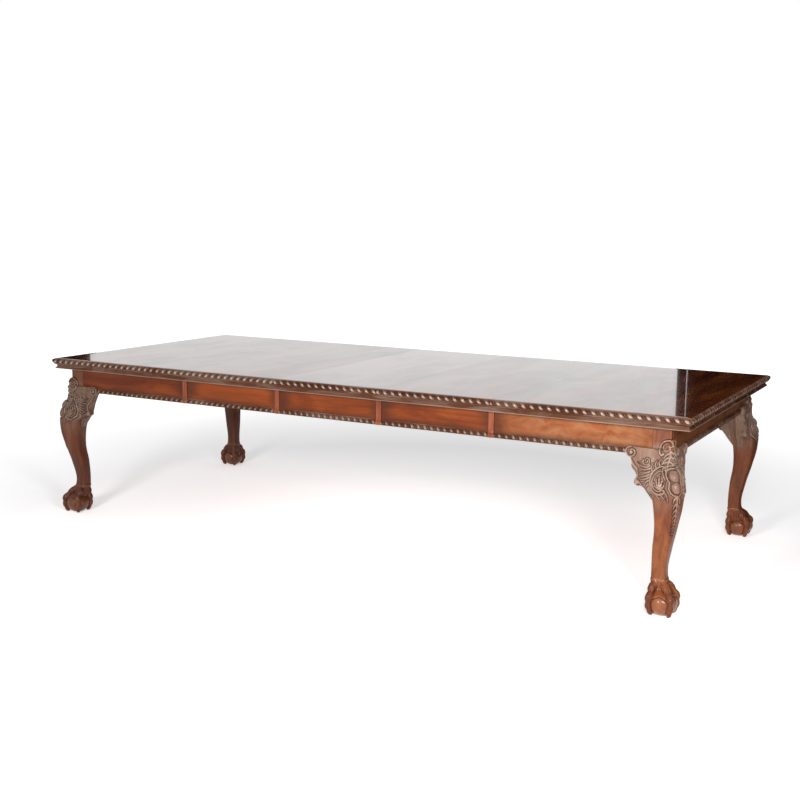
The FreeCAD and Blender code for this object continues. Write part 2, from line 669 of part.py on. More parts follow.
end_bead_reach = f"({post_y} - dims.ear_length)"
end_bead_origin = frame_x, neg(end_bead_reach), apron_bottom
end_bead = run("end_bead", bead_profile, end_bead_origin, RIGHT, UP, BACK, f"2 * {end_bead_reach}")
right_bead = bead_run("right_bead", end_start, bead_end)
left_bead = bead_run("left_bead", neg(bead_end), f"{left_edge} - dims.strip_width")
node(group("right_beads", right_bead, mirror("right_bead_back", right_bead, BACK), end_bead),
     "right_apron_bead")
node(group("left_beads", left_bead, mirror("left_bead_back", left_bead, BACK),
           mirror("left_end_bead", end_bead, RIGHT)), "left_apron_bead")


def joint_strips(name, edge):
    origin = f"{edge} - dims.strip_width", neg(frame_y), apron_bottom
    front = run(f"{name}_front", strip_profile, origin, -BACK, UP, RIGHT, "dims.strip_width")
    return front_and_back(name, front)


node(joint_strips("left_strips", left_edge), "left_end_joint_strips")

# Leaves
for count in (1, 2, 3):
    name = f"leaf_{count}"
    start = f"(dims.leaf_width * {count - 2.5} + {half_seam})"
    end = f"(dims.leaf_width * {count - 1.5} - {half_seam})"
    board = block(f"{name}_slab", (start, end), (neg(board_y), board_y), (board_bottom, top))
    holes = peg_sockets(f"{name}_socket", start) + peg_seats(f"{name}_seat", end)
    node(cut(f"{name}_top", board, *holes), f"{name}_board")
    node(front_and_back(f"{name}_edges", edge_run(f"{name}_edge", start, f"{end} - {start}")),
         f"{name}_edge_mouldings")
    apron = block(f"{name}_apron", (start, end), (neg(frame_y), neg(inner_y)), frieze)
    node(front_and_back(f"{name}_apron_pair", apron), f"{name}_aprons")
    node(front_and_back(f"{name}_beads", bead_run(f"{name}_bead", start, f"{end} - dims.strip_width")),
         f"{name}_apron_bead")
    node(joint_strips(f"{name}_strips", end), f"{name}_joint_strips")
    node(group(f"{name}_peg_set", *pegs(f"{name}_peg", end)), f"{name}_pegs")

# Slides: left one outermost, middle one between, right one innermost
pitch = "(dims.slide_width + dims.slide_gap)"
middle_outer = f"({slide_outer} - {pitch})"
right_outer = f"({middle_outer} - {pitch})"
slides = {
    "left": grooved_slide("left_slide", neg(inner_x), slide_outer, -1),
    "middle": tongued_slide("middle_slide", "(-dims.slide_length / 2)", middle_outer),
    "right": grooved_slide("right_slide", f"({inner_x} - dims.slide_length)", right_outer, 1),
}
for side, front in slides.items():
    node(front, f"{side}_slide_front")
    node(mirror(f"{side}_slide_twin", front, BACK), f"{side}_slide_back")
node(cross_rail("left_rail", neg(f"{joint} + dims.left_rail_setback"), inner_y), "left_cross_rail")
node(cross_rail("nut_rail", neg("dims.nut_rail_place"), slide_outer), "screw_nut_rail")
node(cross_rail("middle_tie_bar", "dims.tie_place", middle_outer), "middle_slide_tie")
node(cross_rail("right_rail", f"({joint} + dims.right_rail_setback)", inner_y), "right_cross_rail")

# Winding screw: crank shaft in its bearing, hollow screw in its nut, inner screw on the right end
shaft_end = f"(-{inner_x} + dims.shaft_setback)"
boss_end = f"(-{inner_x} + dims.bearing_plate_thickness + dims.bearing_boss_length)"
collar_start = f"({boss_end} + dims.collar_play)"
collar_end = f"({collar_start} + dims.collar_width)"
half_drive = "(dims.drive_width / 2)"
half_socket = "(dims.socket_width / 2)"


def square_bar(name, half, x):
    return block(name, x, (neg(half), half), (f"{screw_z} - {half}", f"{screw_z} + {half}"))


shaft = fuse("shaft", rod("shaft_journal", "dims.journal_radius", (shaft_end, collar_end)),
             rod("shaft_collar", "dims.collar_radius", (collar_start, collar_end)),
             square_bar("shaft_drive", half_drive, (collar_start, neg("dims.drive_reach"))))
socket = square_bar("shaft_socket", half_socket,
                    (f"{shaft_end} - {overrun}", f"{shaft_end} + dims.socket_depth"))
node(cut("crank_shaft_bar", shaft, socket), "crank_shaft")

plate_half = "(dims.bearing_plate / 2)"
plate = block("bearing_flange", (neg(inner_x), f"-{inner_x} + dims.bearing_plate_thickness"),
              (neg(plate_half), plate_half), (f"{screw_z} - {plate_half}", board_bottom))
boss = rod("bearing_boss", "dims.bearing_boss_radius",
           (f"-{inner_x} + dims.bearing_plate_thickness / 2", boss_end))
bearing_bore = rod("bearing_bore", "dims.journal_radius + dims.running_clearance",
                   (f"-{inner_x} - {overrun}", f"{boss_end} + {overrun}"))
node(cut("bearing", fuse("bearing_body", plate, boss), bearing_bore), "crank_bearing")

ring = rod("ring_disc", "dims.ring_radius", (f"-{frame_x} - dims.ring_thickness", neg(frame_x)))
ring_hole = rod("ring_hole", "dims.crank_hole_radius",
                (f"-{frame_x} - 2 * dims.ring_thickness", f"-{frame_x} + {overrun}"))
node(cut("ring", ring, ring_hole), "crank_hole_ring")

hollow_end = "dims.hollow_half_length"
tube = rod("hollow_tube", "dims.hollow_radius", (neg(hollow_end), hollow_end))
hollow_room = rod("hollow_room", "dims.hollow_bore", (f"-{hollow_end} + dims.plug_length",
                                                      f"{hollow_end} - dims.plug_length"))
drive_hole = square_bar("drive_hole", f"({half_drive} + dims.drive_clearance)",
                        (f"-{hollow_end} - {overrun}", "0"))
nut_hole = rod("nut_hole", "dims.inner_radius + dims.running_clearance",
               ("0", f"{hollow_end} + {overrun}"))
node(cut("hollow", tube, fuse("hollow_cores", hollow_room, drive_hole, nut_hole)), "hollow_screw")

flange = rod("inner_flange", "dims.inner_flange_radius",
             (f"{inner_x} - dims.inner_flange_thickness", inner_x))
stem = rod("inner_stem", "dims.inner_radius", ("dims.inner_reach", inner_x))
inner_core = rod("inner_core", "dims.inner_bore",
                 (f"dims.inner_reach - {overrun}", f"{inner_x} + {overrun}"))
node(cut("inner", fuse("inner_body", stem, flange), inner_core), "inner_screw")

nut_half = "(dims.nut_width / 2)"
nut_start = "(-dims.nut_rail_place - dims.nut_length / 2)"
nut_end = f"({nut_start} + dims.nut_length)"
nut_body = block("nut_body", (nut_start, nut_end), (neg(nut_half), nut_half), (slide_bottom, slide_top))
nut_bore = rod("nut_bore", "dims.hollow_radius + dims.running_clearance",
               (f"{nut_start} - {overrun}", f"{nut_end} + {overrun}"))
node(cut("nut", nut_body, nut_bore), "screw_nut")

doc.recompute()
for item in doc.Objects:
    if "Invalid" in item.State or "Error" in item.State:
        raise RuntimeError(f"{item.Name} failed: {item.State}")
for label, piece in nodes:
    if piece.Shape.isNull() or not piece.Shape.isValid():
        raise RuntimeError(f"{label} has no valid shape")
for label, piece in nodes:
    piece.Shape.exportStep(f"parts/{label}.step")
print(len(nodes), "nodes written")
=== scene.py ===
"""Looks of a wind-out dining table: carved mahogany legs, gadrooned edges, polished boards, white studio."""

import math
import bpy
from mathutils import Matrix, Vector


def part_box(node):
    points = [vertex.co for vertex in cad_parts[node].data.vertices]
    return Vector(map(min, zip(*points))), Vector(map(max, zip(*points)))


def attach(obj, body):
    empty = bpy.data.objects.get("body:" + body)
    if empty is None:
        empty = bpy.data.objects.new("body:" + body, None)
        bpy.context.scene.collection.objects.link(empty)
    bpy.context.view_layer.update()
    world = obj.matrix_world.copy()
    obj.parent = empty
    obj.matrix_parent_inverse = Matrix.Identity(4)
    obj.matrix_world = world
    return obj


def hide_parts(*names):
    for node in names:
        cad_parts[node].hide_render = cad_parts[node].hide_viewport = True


bl_info = {
    "name": "Extending dining table",
    "version": (1, 0, 0),
    "blender": (4, 5, 0),
    "location": "View3D > Sidebar > Table",
    "description": "Carved legs, gadrooned edges and polished mahogany for a wind-out dining table",
    "category": "Object",
}

import bmesh
import bpy
import numpy as np
from mathutils import Euler, Matrix, Vector

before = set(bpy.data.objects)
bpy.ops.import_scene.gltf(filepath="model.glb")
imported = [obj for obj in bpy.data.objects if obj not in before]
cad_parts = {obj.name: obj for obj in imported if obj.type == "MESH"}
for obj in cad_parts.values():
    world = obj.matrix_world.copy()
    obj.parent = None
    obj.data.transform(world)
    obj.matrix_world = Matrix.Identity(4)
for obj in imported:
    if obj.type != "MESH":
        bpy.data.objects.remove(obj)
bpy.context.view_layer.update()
MM = 0.001


def box_mm(node):
    """Lowest and highest corner of a node, in millimetres."""
    low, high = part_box(node)
    return np.array(low) / MM, np.array(high) / MM


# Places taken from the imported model, in millimetres
FRAME_X = box_mm("right_end_apron")[1][0]
FRAME_Y = -box_mm("right_front_apron")[0][1]
FRIEZE_FOOT = box_mm("right_front_apron")[0][2]
TOP = box_mm("right_top_board")[1][2]
NOSE_X = box_mm("right_edge_moulding")[1][0]
NOSE_Y = -box_mm("right_edge_moulding")[0][1]
EDGE_FOOT = box_mm("right_edge_moulding")[0][2]
SCREW_Z = (box_mm("hollow_screw")[0][2] + box_mm("hollow_screw")[1][2]) / 2
BODIES = ("left_end", "leaf_1", "leaf_2", "leaf_3", "right_end")


def linear(hex_colour):
    """A colour written as sRGB hex, in linear light."""
    parts = [int(hex_colour[i:i + 2], 16) / 255 for i in (1, 3, 5)]
    return tuple(c / 12.92 if c <= 0.04045 else ((c + 0.055) / 1.055) ** 2.4 for c in parts)


def colour(name, hex_colour, description):
    """A colour of the add-on, from sRGB hex."""
    return bpy.props.FloatVectorProperty(name=name, description=description, default=linear(hex_colour),
                                         subtype="COLOR", min=0, max=1)


def length(name, millimetres, description):
    """A length of the add-on, from millimetres."""
    return bpy.props.FloatProperty(name=name, description=description, default=millimetres * MM, min=0,
                                   unit="LENGTH", subtype="DISTANCE")


class TableSizes(bpy.types.PropertyGroup):
    """Sizes of the carving."""

    lobe_pitch: length("Lobe pitch", 35.4, "One lobe and its reed along the top edge")
    lobe_depth: length("Lobe depth", 7, "Grooves between the lobes of the top edge")
    lobe_lean: length("Lobe lean", 17, "Slant of a lobe from its foot to its head")
    bead_pitch: length("Bead pitch", 30, "One leaf along the lower bead")
    bead_depth: length("Bead depth", 4.6, "Grooves of the lower bead")
    bead_lean: length("Bead lean", 10, "Slant of a leaf of the lower bead")
    carving_grid: length("Carving grid", 1.9, "Spacing of the mesh on the carved legs")
    ear_grid: length("Bracket grid", 1.7, "Spacing of the mesh on the knee brackets")
    carving_rise: bpy.props.FloatProperty(
        name="Carving rise", description="Height of the carving on the knees", default=1.0, min=0, max=2,
        subtype="FACTOR")
    thread_lead: length("Thread lead", 12.7, "Travel of the winding screws in one turn")


class TableColours(bpy.types.PropertyGroup):
    """Colours of the woods and metals."""

    top_pale: colour("Top, pale", "#b8632f", "Pale streaks of the polished top")
    top_mid: colour("Top, middle", "#7f3d1d", "Main tone of the polished top")
    top_dark: colour("Top, dark", "#3c1a10", "Dark figure of the polished top")
    frieze_pale: colour("Frieze, pale", "#b45a29", "Pale flames of the frieze veneer")
    frieze_mid: colour("Frieze, middle", "#8d411b", "Main tone of the frieze veneer")
    frieze_dark: colour("Frieze, dark", "#642b13", "Dark figure of the frieze veneer")
    # Darker tone at the ends of the panels, beside the posts and just above the bead
    frieze_edge: colour("Frieze, edges", "#48261a", "Old polish gathered at the ends of a panel")
    # Painted sheen, partly faded veneer, at the right end of the frieze
    frieze_faded_sheen: colour("Frieze, faded", "#b57b52", "Veneer bleached by light at the right end")
    strip_pale: colour("Joint strip, pale", "#ad5a30", "Pale grain of the joint strips")
    strip_mid: colour("Joint strip", "#944522", "Joint strips between the panels")
    carved_mid: colour("Carving, middle", "#94705c", "Main tone of the carved wood")
    # Pale of the carving: wear with painted highlight on high places, also the pale of its figure
    carved_worn_highlight: colour("Carving, worn", "#b59c8c", "High places rubbed pale by use")
    edge_mid: colour("Edge, middle", "#6c412c", "Main tone of the gadrooned edges and the lower bead")
    # Painted highlight on the crests of the lobes
    edge_painted_highlight: colour("Edge, worn", "#e8c8ae", "Crests of the lobes, rubbed almost white")
    # Painted highlight on the crests of the lower bead
    bead_painted_highlight: colour("Bead, worn", "#cfae94", "Crests of the lower bead, rubbed less than the edge")
    # Dark of the grooves: old polish with painted shade; also the darkest figure and the joints of the boards
    carved_deep: colour("Carving, deep", "#24140d", "Dark polish left in the grooves")
    shin: colour("Shin", "#7d3f20", "Warmer wood of the lower leg and ball")
    # Paler ball and knuckles: wear with painted highlight, also the pale figure of the shin
    shin_worn_highlight: colour("Shin, worn", "#b87040", "Ball and knuckles rubbed bright")
    slide_pale: colour("Slide, pale", "#b08a5c", "Plain hardwood inside the frame")
    slide_dark: colour("Slide, dark", "#7c5a38", "Grain of the plain hardwood")
    steel: colour("Screw steel", "#8d8f92", "Bright worn steel of the screws")
    iron: colour("Cast iron", "#3b3a3a", "Blackened iron of bearing and nut")
    brass: colour("Brass", "#b08d4a", "Aged brass of the ring round the crank hole")
    floor: colour("Floor", "#f4f4f5", "Pale studio floor")


# Sockets of the colour mix node, which has one set for each kind of value
MIX_FACTOR, MIX_FIRST, MIX_SECOND, MIX_RESULT = 0, 6, 7, 2
# A range node's sockets go by number: 0 takes the value, 1 and 2 the range it has, 3 and 4 the range it gets


def rgba(values):
    """A colour with full cover."""
    return (*values, 1.0)


def grey(level):
    """A grey for a ramp that is read as a number."""
    return (level, level, level)


def add(tree, kind, inputs=None, stops=None, **settings):
    """Adds one node: its settings, its sockets as values or links, and the stops of a ramp."""
    node = tree.nodes.new(kind)
    for key, value in settings.items():
        setattr(node, key, value)
    for key, value in (inputs or {}).items():
        if isinstance(value, bpy.types.NodeSocket):
            tree.links.new(value, node.inputs[key])
        else:
            node.inputs[key].default_value = value
    if stops:
        ramp = node.color_ramp.elements
        while len(ramp) < len(stops):
            ramp.new(1.0)
        for element, (place, shade) in zip(ramp, stops):
            element.position = place
            element.color = shade if len(shade) == 4 else rgba(shade)
    return node


def new_material(name):
    """An empty material with its tree, its surface shader and its coordinates."""
    material = bpy.data.materials.new(name)
    material.use_nodes = True
    tree = material.node_tree
    tree.nodes.clear()
    shader = add(tree, "ShaderNodeBsdfPrincipled")
    add(tree, "ShaderNodeOutputMaterial", {"Surface": shader.outputs[0]})
    spot = add(tree, "ShaderNodeTexCoord").outputs["Object"]
    return material, tree, shader, spot


def stretched(tree, spot, along, size_along, size_across, detail, distortion):
    """A pattern drawn out along the grain, from its real sizes in millimetres."""
    scale = tuple(1000 / (size_along if axis == along else size_across) for axis in "XYZ")
    place = add(tree, "ShaderNodeMapping", {"Vector": spot, "Scale": scale})
    return add(tree, "ShaderNodeTexNoise", {"Vector": place.outputs[0], "Scale": 1.0, "Detail": detail,
                                            "Roughness": 0.58, "Distortion": distortion}).outputs[0]


def blended(tree, kind, factor, first, second):
    """One colour over another."""
    return add(tree, "ShaderNodeMix", {MIX_FACTOR: factor, MIX_FIRST: first, MIX_SECOND: second},
               data_type="RGBA", blend_type=kind).outputs[MIX_RESULT]


def wood_tone(tree, spot, along, pale, middle, dark, figure, ribbon, pore):
    """Colour of a figured board with its grain along one axis, and its pores."""
    broad = stretched(tree, spot, along, *figure, 5.0, 0.9)
    streaks = stretched(tree, spot, along, *ribbon, 4.0, 0.3)
    pores = stretched(tree, spot, along, *pore, 2.0, 0.0)
    flames = add(tree, "ShaderNodeValToRGB", {"Fac": broad},
                 stops=[(0.30, dark), (0.46, middle), (0.62, pale), (0.78, middle)])
    ribbons = add(tree, "ShaderNodeValToRGB", {"Fac": streaks},
                  stops=[(0.30, (0.55, 0.50, 0.47)), (0.52, (1, 1, 1)), (0.75, (1.0, 0.94, 0.88))])
    flecks = add(tree, "ShaderNodeValToRGB", {"Fac": pores},
                 stops=[(0.34, (0.55, 0.5, 0.48)), (0.46, (1, 1, 1))])
    tone = blended(tree, "MULTIPLY", 0.8, flames.outputs[0], ribbons.outputs[0])
    return blended(tree, "MULTIPLY", 0.55, tone, flecks.outputs[0]), pores


def set_shader(tree, shader, **values):
    """Sets sockets of a surface to values or links; an underscore stands for a space in a socket's name."""
    for key, value in values.items():
        socket = shader.inputs[key.replace("_", " ")]
        if isinstance(value, bpy.types.NodeSocket):
            tree.links.new(value, socket)
        else:
            socket.default_value = value


# Each board is cut from another place of the log; dirt darkens these metres of it at a joint, this strongly
BOARD_SHIFT, JOINT_LINE, JOINT_DIRT = 5.3, 0.004, 0.9
# How much polish is lost in the hazy places of a board
HAZE_LOSS = 0.12


def polished_top(colours, board, polish):
    """French polished mahogany: many rubbed coats of shellac give a mirror over dark, red, rippled figure."""
    material, tree, shader, spot = new_material(f"french_polish_{board}")
    near, far = (corner[0] * MM for corner in box_mm(board))
    shift = 0, BOARD_SHIFT * near, BOARD_SHIFT * far
    cut = add(tree, "ShaderNodeMapping", {"Vector": spot, "Location": shift}).outputs[0]
    tone, _ = wood_tone(tree, cut, "Y", colours.top_pale, colours.top_mid, colours.top_dark,
                        (900, 150), (500, 16), (14, 1.6))
    reach = add(tree, "ShaderNodeSeparateXYZ", {"Vector": spot}).outputs[0]
    for edge, inside in ((near, near + JOINT_LINE), (far, far - JOINT_LINE)):
        if abs(edge) > FRAME_X * MM:
            continue
        line = add(tree, "ShaderNodeMapRange",
                   {0: reach, 1: edge, 2: inside, 3: JOINT_DIRT, 4: 0.0}).outputs[0]
        tone = blended(tree, "MIX", line, tone, rgba(colours.carved_deep))
    swell = stretched(tree, spot, "Y", 700, 260, 1.0, 0.0)
    ripple = add(tree, "ShaderNodeBump", {"Height": swell, "Strength": 0.08, "Distance": 0.002}).outputs[0]
    haze = stretched(tree, spot, "Y", 420, 170, 3.0, 0.6)
    gloss = {0: haze, 1: 0.36, 2: 0.56, 3: polish - HAZE_LOSS, 4: polish}
    rubbed = add(tree, "ShaderNodeMapRange", gloss).outputs[0]
    set_shader(tree, shader, Base_Color=tone, Normal=ripple, Coat_Normal=ripple, Coat_Weight=rubbed,
               Roughness=0.12, IOR=1.5, Specular_IOR_Level=0.06, Coat_Roughness=0.03)
    return material


# Joints of the frieze along X in metres, and how far to their sides the veneer is darkest and where that
# thins out
JOINTS, DARK_THICK, DARK_END = (0.257, 0.771), 0.02, 0.075
# Where the veneer begins to darken beside the posts and where it is darkest, and how dark it is there
POST_DARK_FROM, POST_DARK_FULL, POST_DARK = 1.33, 1.44, 0.6
# Tone of each panel's sheet of veneer, left to right, from the dark (0) to the pale colour (1); its share
PANEL_TONES, PANEL_SHARE = (0.0, 1.0, 0.38, 0.28, 0.6), 0.42
# Edge of a panel that is left out of its tone, in metres
PANEL_EDGE = 0.002
# Top of the bead over the frieze's foot, in millimetres; height in metres and strength of the darker band
# just above it
BEAD_TOP, FOOT_DARK_HEIGHT, FOOT_DARK = 22, 0.02, 0.6
# The veneer is painted paler from here on, and fully from there, along X in metres: painted sheen, partly the
# veneer faded by light
SHEEN_FADE_FROM, SHEEN_FADE_FULL = 0.72, 1.0


def frieze_veneer(colours):
    """Mahogany flame veneer under old polish: orange brown, darker towards a panel's ends, and painted paler
    at the right end as sheen, partly faded by light.
    """
    material, tree, shader, spot = new_material("mahogany_frieze_veneer")
    tone, pores = wood_tone(tree, spot, "X", colours.frieze_pale, colours.frieze_mid, colours.frieze_dark,
                            (420, 80), (260, 9), (12, 1.5))
    parts = add(tree, "ShaderNodeSeparateXYZ", {"Vector": spot})
    reach = add(tree, "ShaderNodeMath", {0: parts.outputs[0]}, operation="ABSOLUTE").outputs[0]
    cloud = stretched(tree, spot, "X", 90, 60, 3.0, 0.4)
    wander = add(tree, "ShaderNodeMath", {0: cloud, 1: 0.07, 2: reach}, operation="MULTIPLY_ADD").outputs[0]
    share = add(tree, "ShaderNodeMath", {0: wander, 1: 0.035}, operation="SUBTRACT").outputs[0]
    full = FRAME_X * MM
    along = add(tree, "ShaderNodeMath", {0: share, 1: full}, operation="DIVIDE").outputs[0]
    dips = []
    for joint in JOINTS:
        for shift, level in ((-DARK_END, 0), (-DARK_THICK, 1), (DARK_THICK, 1), (DARK_END, 0)):
            dips.append(((joint + shift) / full, grey(level)))
    dips += [(POST_DARK_FROM / full, grey(0)), (POST_DARK_FULL / full, grey(POST_DARK))]
    darkening = add(tree, "ShaderNodeValToRGB", {"Fac": along}, stops=dips).outputs[0]
    reduced = add(tree, "ShaderNodeMath", {0: darkening, 1: 0.7}, operation="MULTIPLY").outputs[0]
    above_bead = (FRIEZE_FOOT + BEAD_TOP) * MM
    low_dark = {0: parts.outputs[2], 1: above_bead, 2: above_bead + FOOT_DARK_HEIGHT, 3: FOOT_DARK, 4: 0.0}
    foot = add(tree, "ShaderNodeMapRange", low_dark).outputs[0]
    reduced = add(tree, "ShaderNodeMath", {0: reduced, 1: foot}, operation="MAXIMUM").outputs[0]
    from_left = {0: parts.outputs[0], 1: -full, 2: full, 3: 0.0, 4: 1.0}
    place = add(tree, "ShaderNodeMapRange", from_left).outputs[0]
    ends = sorted([-full, full, *JOINTS, *(-joint for joint in JOINTS)])
    sheets = []
    for start, end, level in zip(ends, ends[1:], PANEL_TONES):
        for edge in (start + PANEL_EDGE, end - PANEL_EDGE):
            sheets.append(((edge + full) / (2 * full), grey(level)))
    sheet = add(tree, "ShaderNodeValToRGB", {"Fac": place}, stops=sheets).outputs[0]
    own = blended(tree, "MIX", sheet, rgba(colours.frieze_dark), rgba(colours.frieze_pale))
    tone = blended(tree, "MIX", PANEL_SHARE, tone, own)
    # Painted sheen, partly faded veneer: paler in patches towards the right end
    fading = {0: parts.outputs[0], 1: SHEEN_FADE_FROM, 2: SHEEN_FADE_FULL, 3: 0.0, 4: 1.0}
    faded = add(tree, "ShaderNodeMapRange", fading).outputs[0]
    mottle = stretched(tree, spot, "X", 75, 48, 3.0, 0.9)
    patchy = add(tree, "ShaderNodeMapRange", {0: mottle, 1: 0.36, 2: 0.62, 3: 0.2, 4: 0.8}).outputs[0]
    bleach_and_sheen = add(tree, "ShaderNodeMath", {0: faded, 1: patchy}, operation="MULTIPLY").outputs[0]
    tone = blended(tree, "MIX", bleach_and_sheen, tone, rgba(colours.frieze_faded_sheen))
    aged = blended(tree, "MIX", reduced, tone, rgba(colours.frieze_edge))
    relief = add(tree, "ShaderNodeBump", {"Height": pores, "Strength": 0.12, "Distance": 0.0004}).outputs[0]
    set_shader(tree, shader, Base_Color=aged, Normal=relief, Roughness=0.4, IOR=1.5, Specular_IOR_Level=0.14,
               Coat_Weight=0.05, Coat_Roughness=0.15)
    return material


def strip_wood(colours):
    """Straight grained mahogany strip, a little brighter than the panels beside it."""
    material, tree, shader, spot = new_material("mahogany_joint_strip")
    tone, pores = wood_tone(tree, spot, "Z", colours.strip_pale, colours.strip_mid, colours.frieze_dark,
                            (300, 30), (160, 5), (12, 1.5))
    relief = add(tree, "ShaderNodeBump", {"Height": pores, "Strength": 0.12, "Distance": 0.0004}).outputs[0]
    set_shader(tree, shader, Base_Color=tone, Normal=relief, Roughness=0.32, IOR=1.5, Specular_IOR_Level=0.3,
               Coat_Weight=0.2, Coat_Roughness=0.1)
    return material


# Painted shade: legs and brackets are painted darker at the left end, less towards the right: share of each
# colour left, from X, to X
LEFT_END_PAINTED_SHADE, PAINTED_SHADE_FROM, PAINTED_SHADE_TO = (0.66, 0.62, 0.58, 1), -0.9, 0.9
# How far high places are painted pale, wear with painted highlight; how dark grooves are painted, old polish
# with painted shade; sheen: legs and brackets, edges and beads
CARVING_WEAR_AND_PAINTED_LIGHT, EDGE_WEAR_AND_PAINTED_LIGHT = (0.48, 0.7, 0.3), (0.7, 0.76, 0.12)
# Where the leg's wood is warm, by height in metres: all of the shin, not the knee, most of the post
WARM_ZONES = [(0.44, grey(1)), (0.60, grey(0)), (0.695, grey(0)), (0.715, grey(0.9))]
# Pale high places, wear with painted highlight, are warm on the foot and grey from the knee up: heights in
# metres
WARM_FOOT, GREY_KNEE = 0.2, 0.42
# What the carving attribute says where the dark of grooves, old polish with painted shade, is thickest and
# ends, and where the pale of high places, wear with painted highlight, begins and is strongest
DEEP, LEVEL, HIGH, HIGHEST = 0.18, 0.46, 0.58, 0.95


def carved_wood(colours, name, along, tones, gloss, warm_shin=False, rim=None):
    """Carved mahogany, hand cut and polished: grooves painted black, old polish with painted shade; high
    places painted pale, wear with painted highlight, and shiny.

    A rim is the height of an arris along which a pale line is painted as a highlight, on faces that do not
    turn down."""
    material, tree, shader, spot = new_material(name)
    middle, pale = tones
    figure = (260, 60), (150, 7), (10, 1.5)
    paling_and_highlight, darkening, sheen = CARVING_WEAR_AND_PAINTED_LIGHT if along == "Z" else EDGE_WEAR_AND_PAINTED_LIGHT
    reach, _, height = add(tree, "ShaderNodeSeparateXYZ", {"Vector": spot}).outputs
    tone, pores = wood_tone(tree, spot, along, colours.carved_worn_highlight, middle, colours.carved_deep, *figure)
    plain = blended(tree, "MIX", 0.6, tone, rgba(middle))
    rubbed = rgba(pale)
    if warm_shin:
        cloud = stretched(tree, spot, "Z", 160, 70, 3.0, 0.4)
        wander = add(tree, "ShaderNodeMath", {0: cloud, 1: 0.12, 2: height},
                     operation="MULTIPLY_ADD").outputs[0]
        low = add(tree, "ShaderNodeValToRGB", {"Fac": wander}, stops=WARM_ZONES).outputs[0]
        grown, _ = wood_tone(tree, spot, along, colours.shin_worn_highlight, colours.shin, colours.carved_deep, *figure)
        warm = blended(tree, "MIX", 0.5, grown, rgba(colours.shin))
        plain = blended(tree, "MIX", low, plain, warm)
        fading = {0: height, 1: WARM_FOOT, 2: GREY_KNEE, 3: 1.0, 4: 0.0}
        foot = add(tree, "ShaderNodeMapRange", fading).outputs[0]
        rubbed = blended(tree, "MIX", foot, rubbed, rgba(colours.shin_worn_highlight))
    # The carving attribute turns into dark grooves, old polish with painted shade, and pale high places, wear
    # with painted highlight
    cutting = add(tree, "ShaderNodeAttribute", attribute_name="carve").outputs["Fac"]
    deep = add(tree, "ShaderNodeValToRGB", {"Fac": cutting}, stops=[(DEEP, grey(1)), (LEVEL, grey(0))])
    high = add(tree, "ShaderNodeValToRGB", {"Fac": cutting}, stops=[(HIGH, grey(0)), (HIGHEST, grey(paling_and_highlight))])
    worn = blended(tree, "MIX", high.outputs[0], plain, rubbed)
    dirt_and_shade_share = add(tree, "ShaderNodeMath", {0: deep.outputs[0], 1: darkening}, operation="MULTIPLY").outputs[0]
    shade = blended(tree, "MIX", dirt_and_shade_share, worn, rgba(colours.carved_deep))
    # Painted highlight: a pale line along the lower arris, on faces that do not turn down
    if rim:
        faces = add(tree, "ShaderNodeNewGeometry").outputs["Normal"]
        down = add(tree, "ShaderNodeSeparateXYZ", {"Vector": faces}).outputs[2]
        upright = add(tree, "ShaderNodeMapRange", {0: down, 1: -0.8, 2: -0.4, 3: 0.0, 4: 0.6}).outputs[0]
        highlight_band = {0: height, 1: (rim + 1.5) * MM, 2: (rim + 4) * MM, 3: 1.0, 4: 0.0}
        arris = add(tree, "ShaderNodeMapRange", highlight_band).outputs[0]
        lit = add(tree, "ShaderNodeMath", {0: arris, 1: upright}, operation="MULTIPLY").outputs[0]
        shade = blended(tree, "MIX", lit, shade, rgba(colours.carved_worn_highlight))
    # Painted shade, darker towards the left end
    if along == "Z":
        left_painted_shade = {0: reach, 1: PAINTED_SHADE_FROM, 2: PAINTED_SHADE_TO, 3: 1.0, 4: 0.0}
        kept = add(tree, "ShaderNodeMapRange", left_painted_shade).outputs[0]
        shade = blended(tree, "MULTIPLY", kept, shade, LEFT_END_PAINTED_SHADE)
    rub = add(tree, "ShaderNodeMapRange", {0: cutting, 1: 0.2, 2: 0.9, 3: 0.55, 4: 0.34}).outputs[0]
    relief = add(tree, "ShaderNodeBump", {"Height": pores, "Strength": 0.18, "Distance": 0.0005}).outputs[0]
    shine = add(tree, "ShaderNodeMapRange", {0: cutting, 1: 0.52, 2: 0.85, 3: 0.06, 4: gloss}).outputs[0]
    set_shader(tree, shader, Base_Color=shade, Roughness=rub, Normal=relief, Coat_Weight=shine, IOR=1.5,
               Specular_IOR_Level=sheen, Coat_Roughness=0.08)
    return material


def plain_hardwood(colours):
    """Planed beech left without polish: straight fine grain, a little grey with age, no shine."""
    material, tree, shader, spot = new_material("planed_hardwood")
    middle = [(pale + dark) / 2 for pale, dark in zip(colours.slide_pale, colours.slide_dark)]
    tone, pores = wood_tone(tree, spot, "X", colours.slide_pale, middle, colours.slide_dark,
                            (600, 40), (300, 5), (10, 1.4))
    relief = add(tree, "ShaderNodeBump", {"Height": pores, "Strength": 0.25, "Distance": 0.0005}).outputs[0]
    set_shader(tree, shader, Base_Color=tone, Normal=relief, Roughness=0.62, IOR=1.48)
    return material


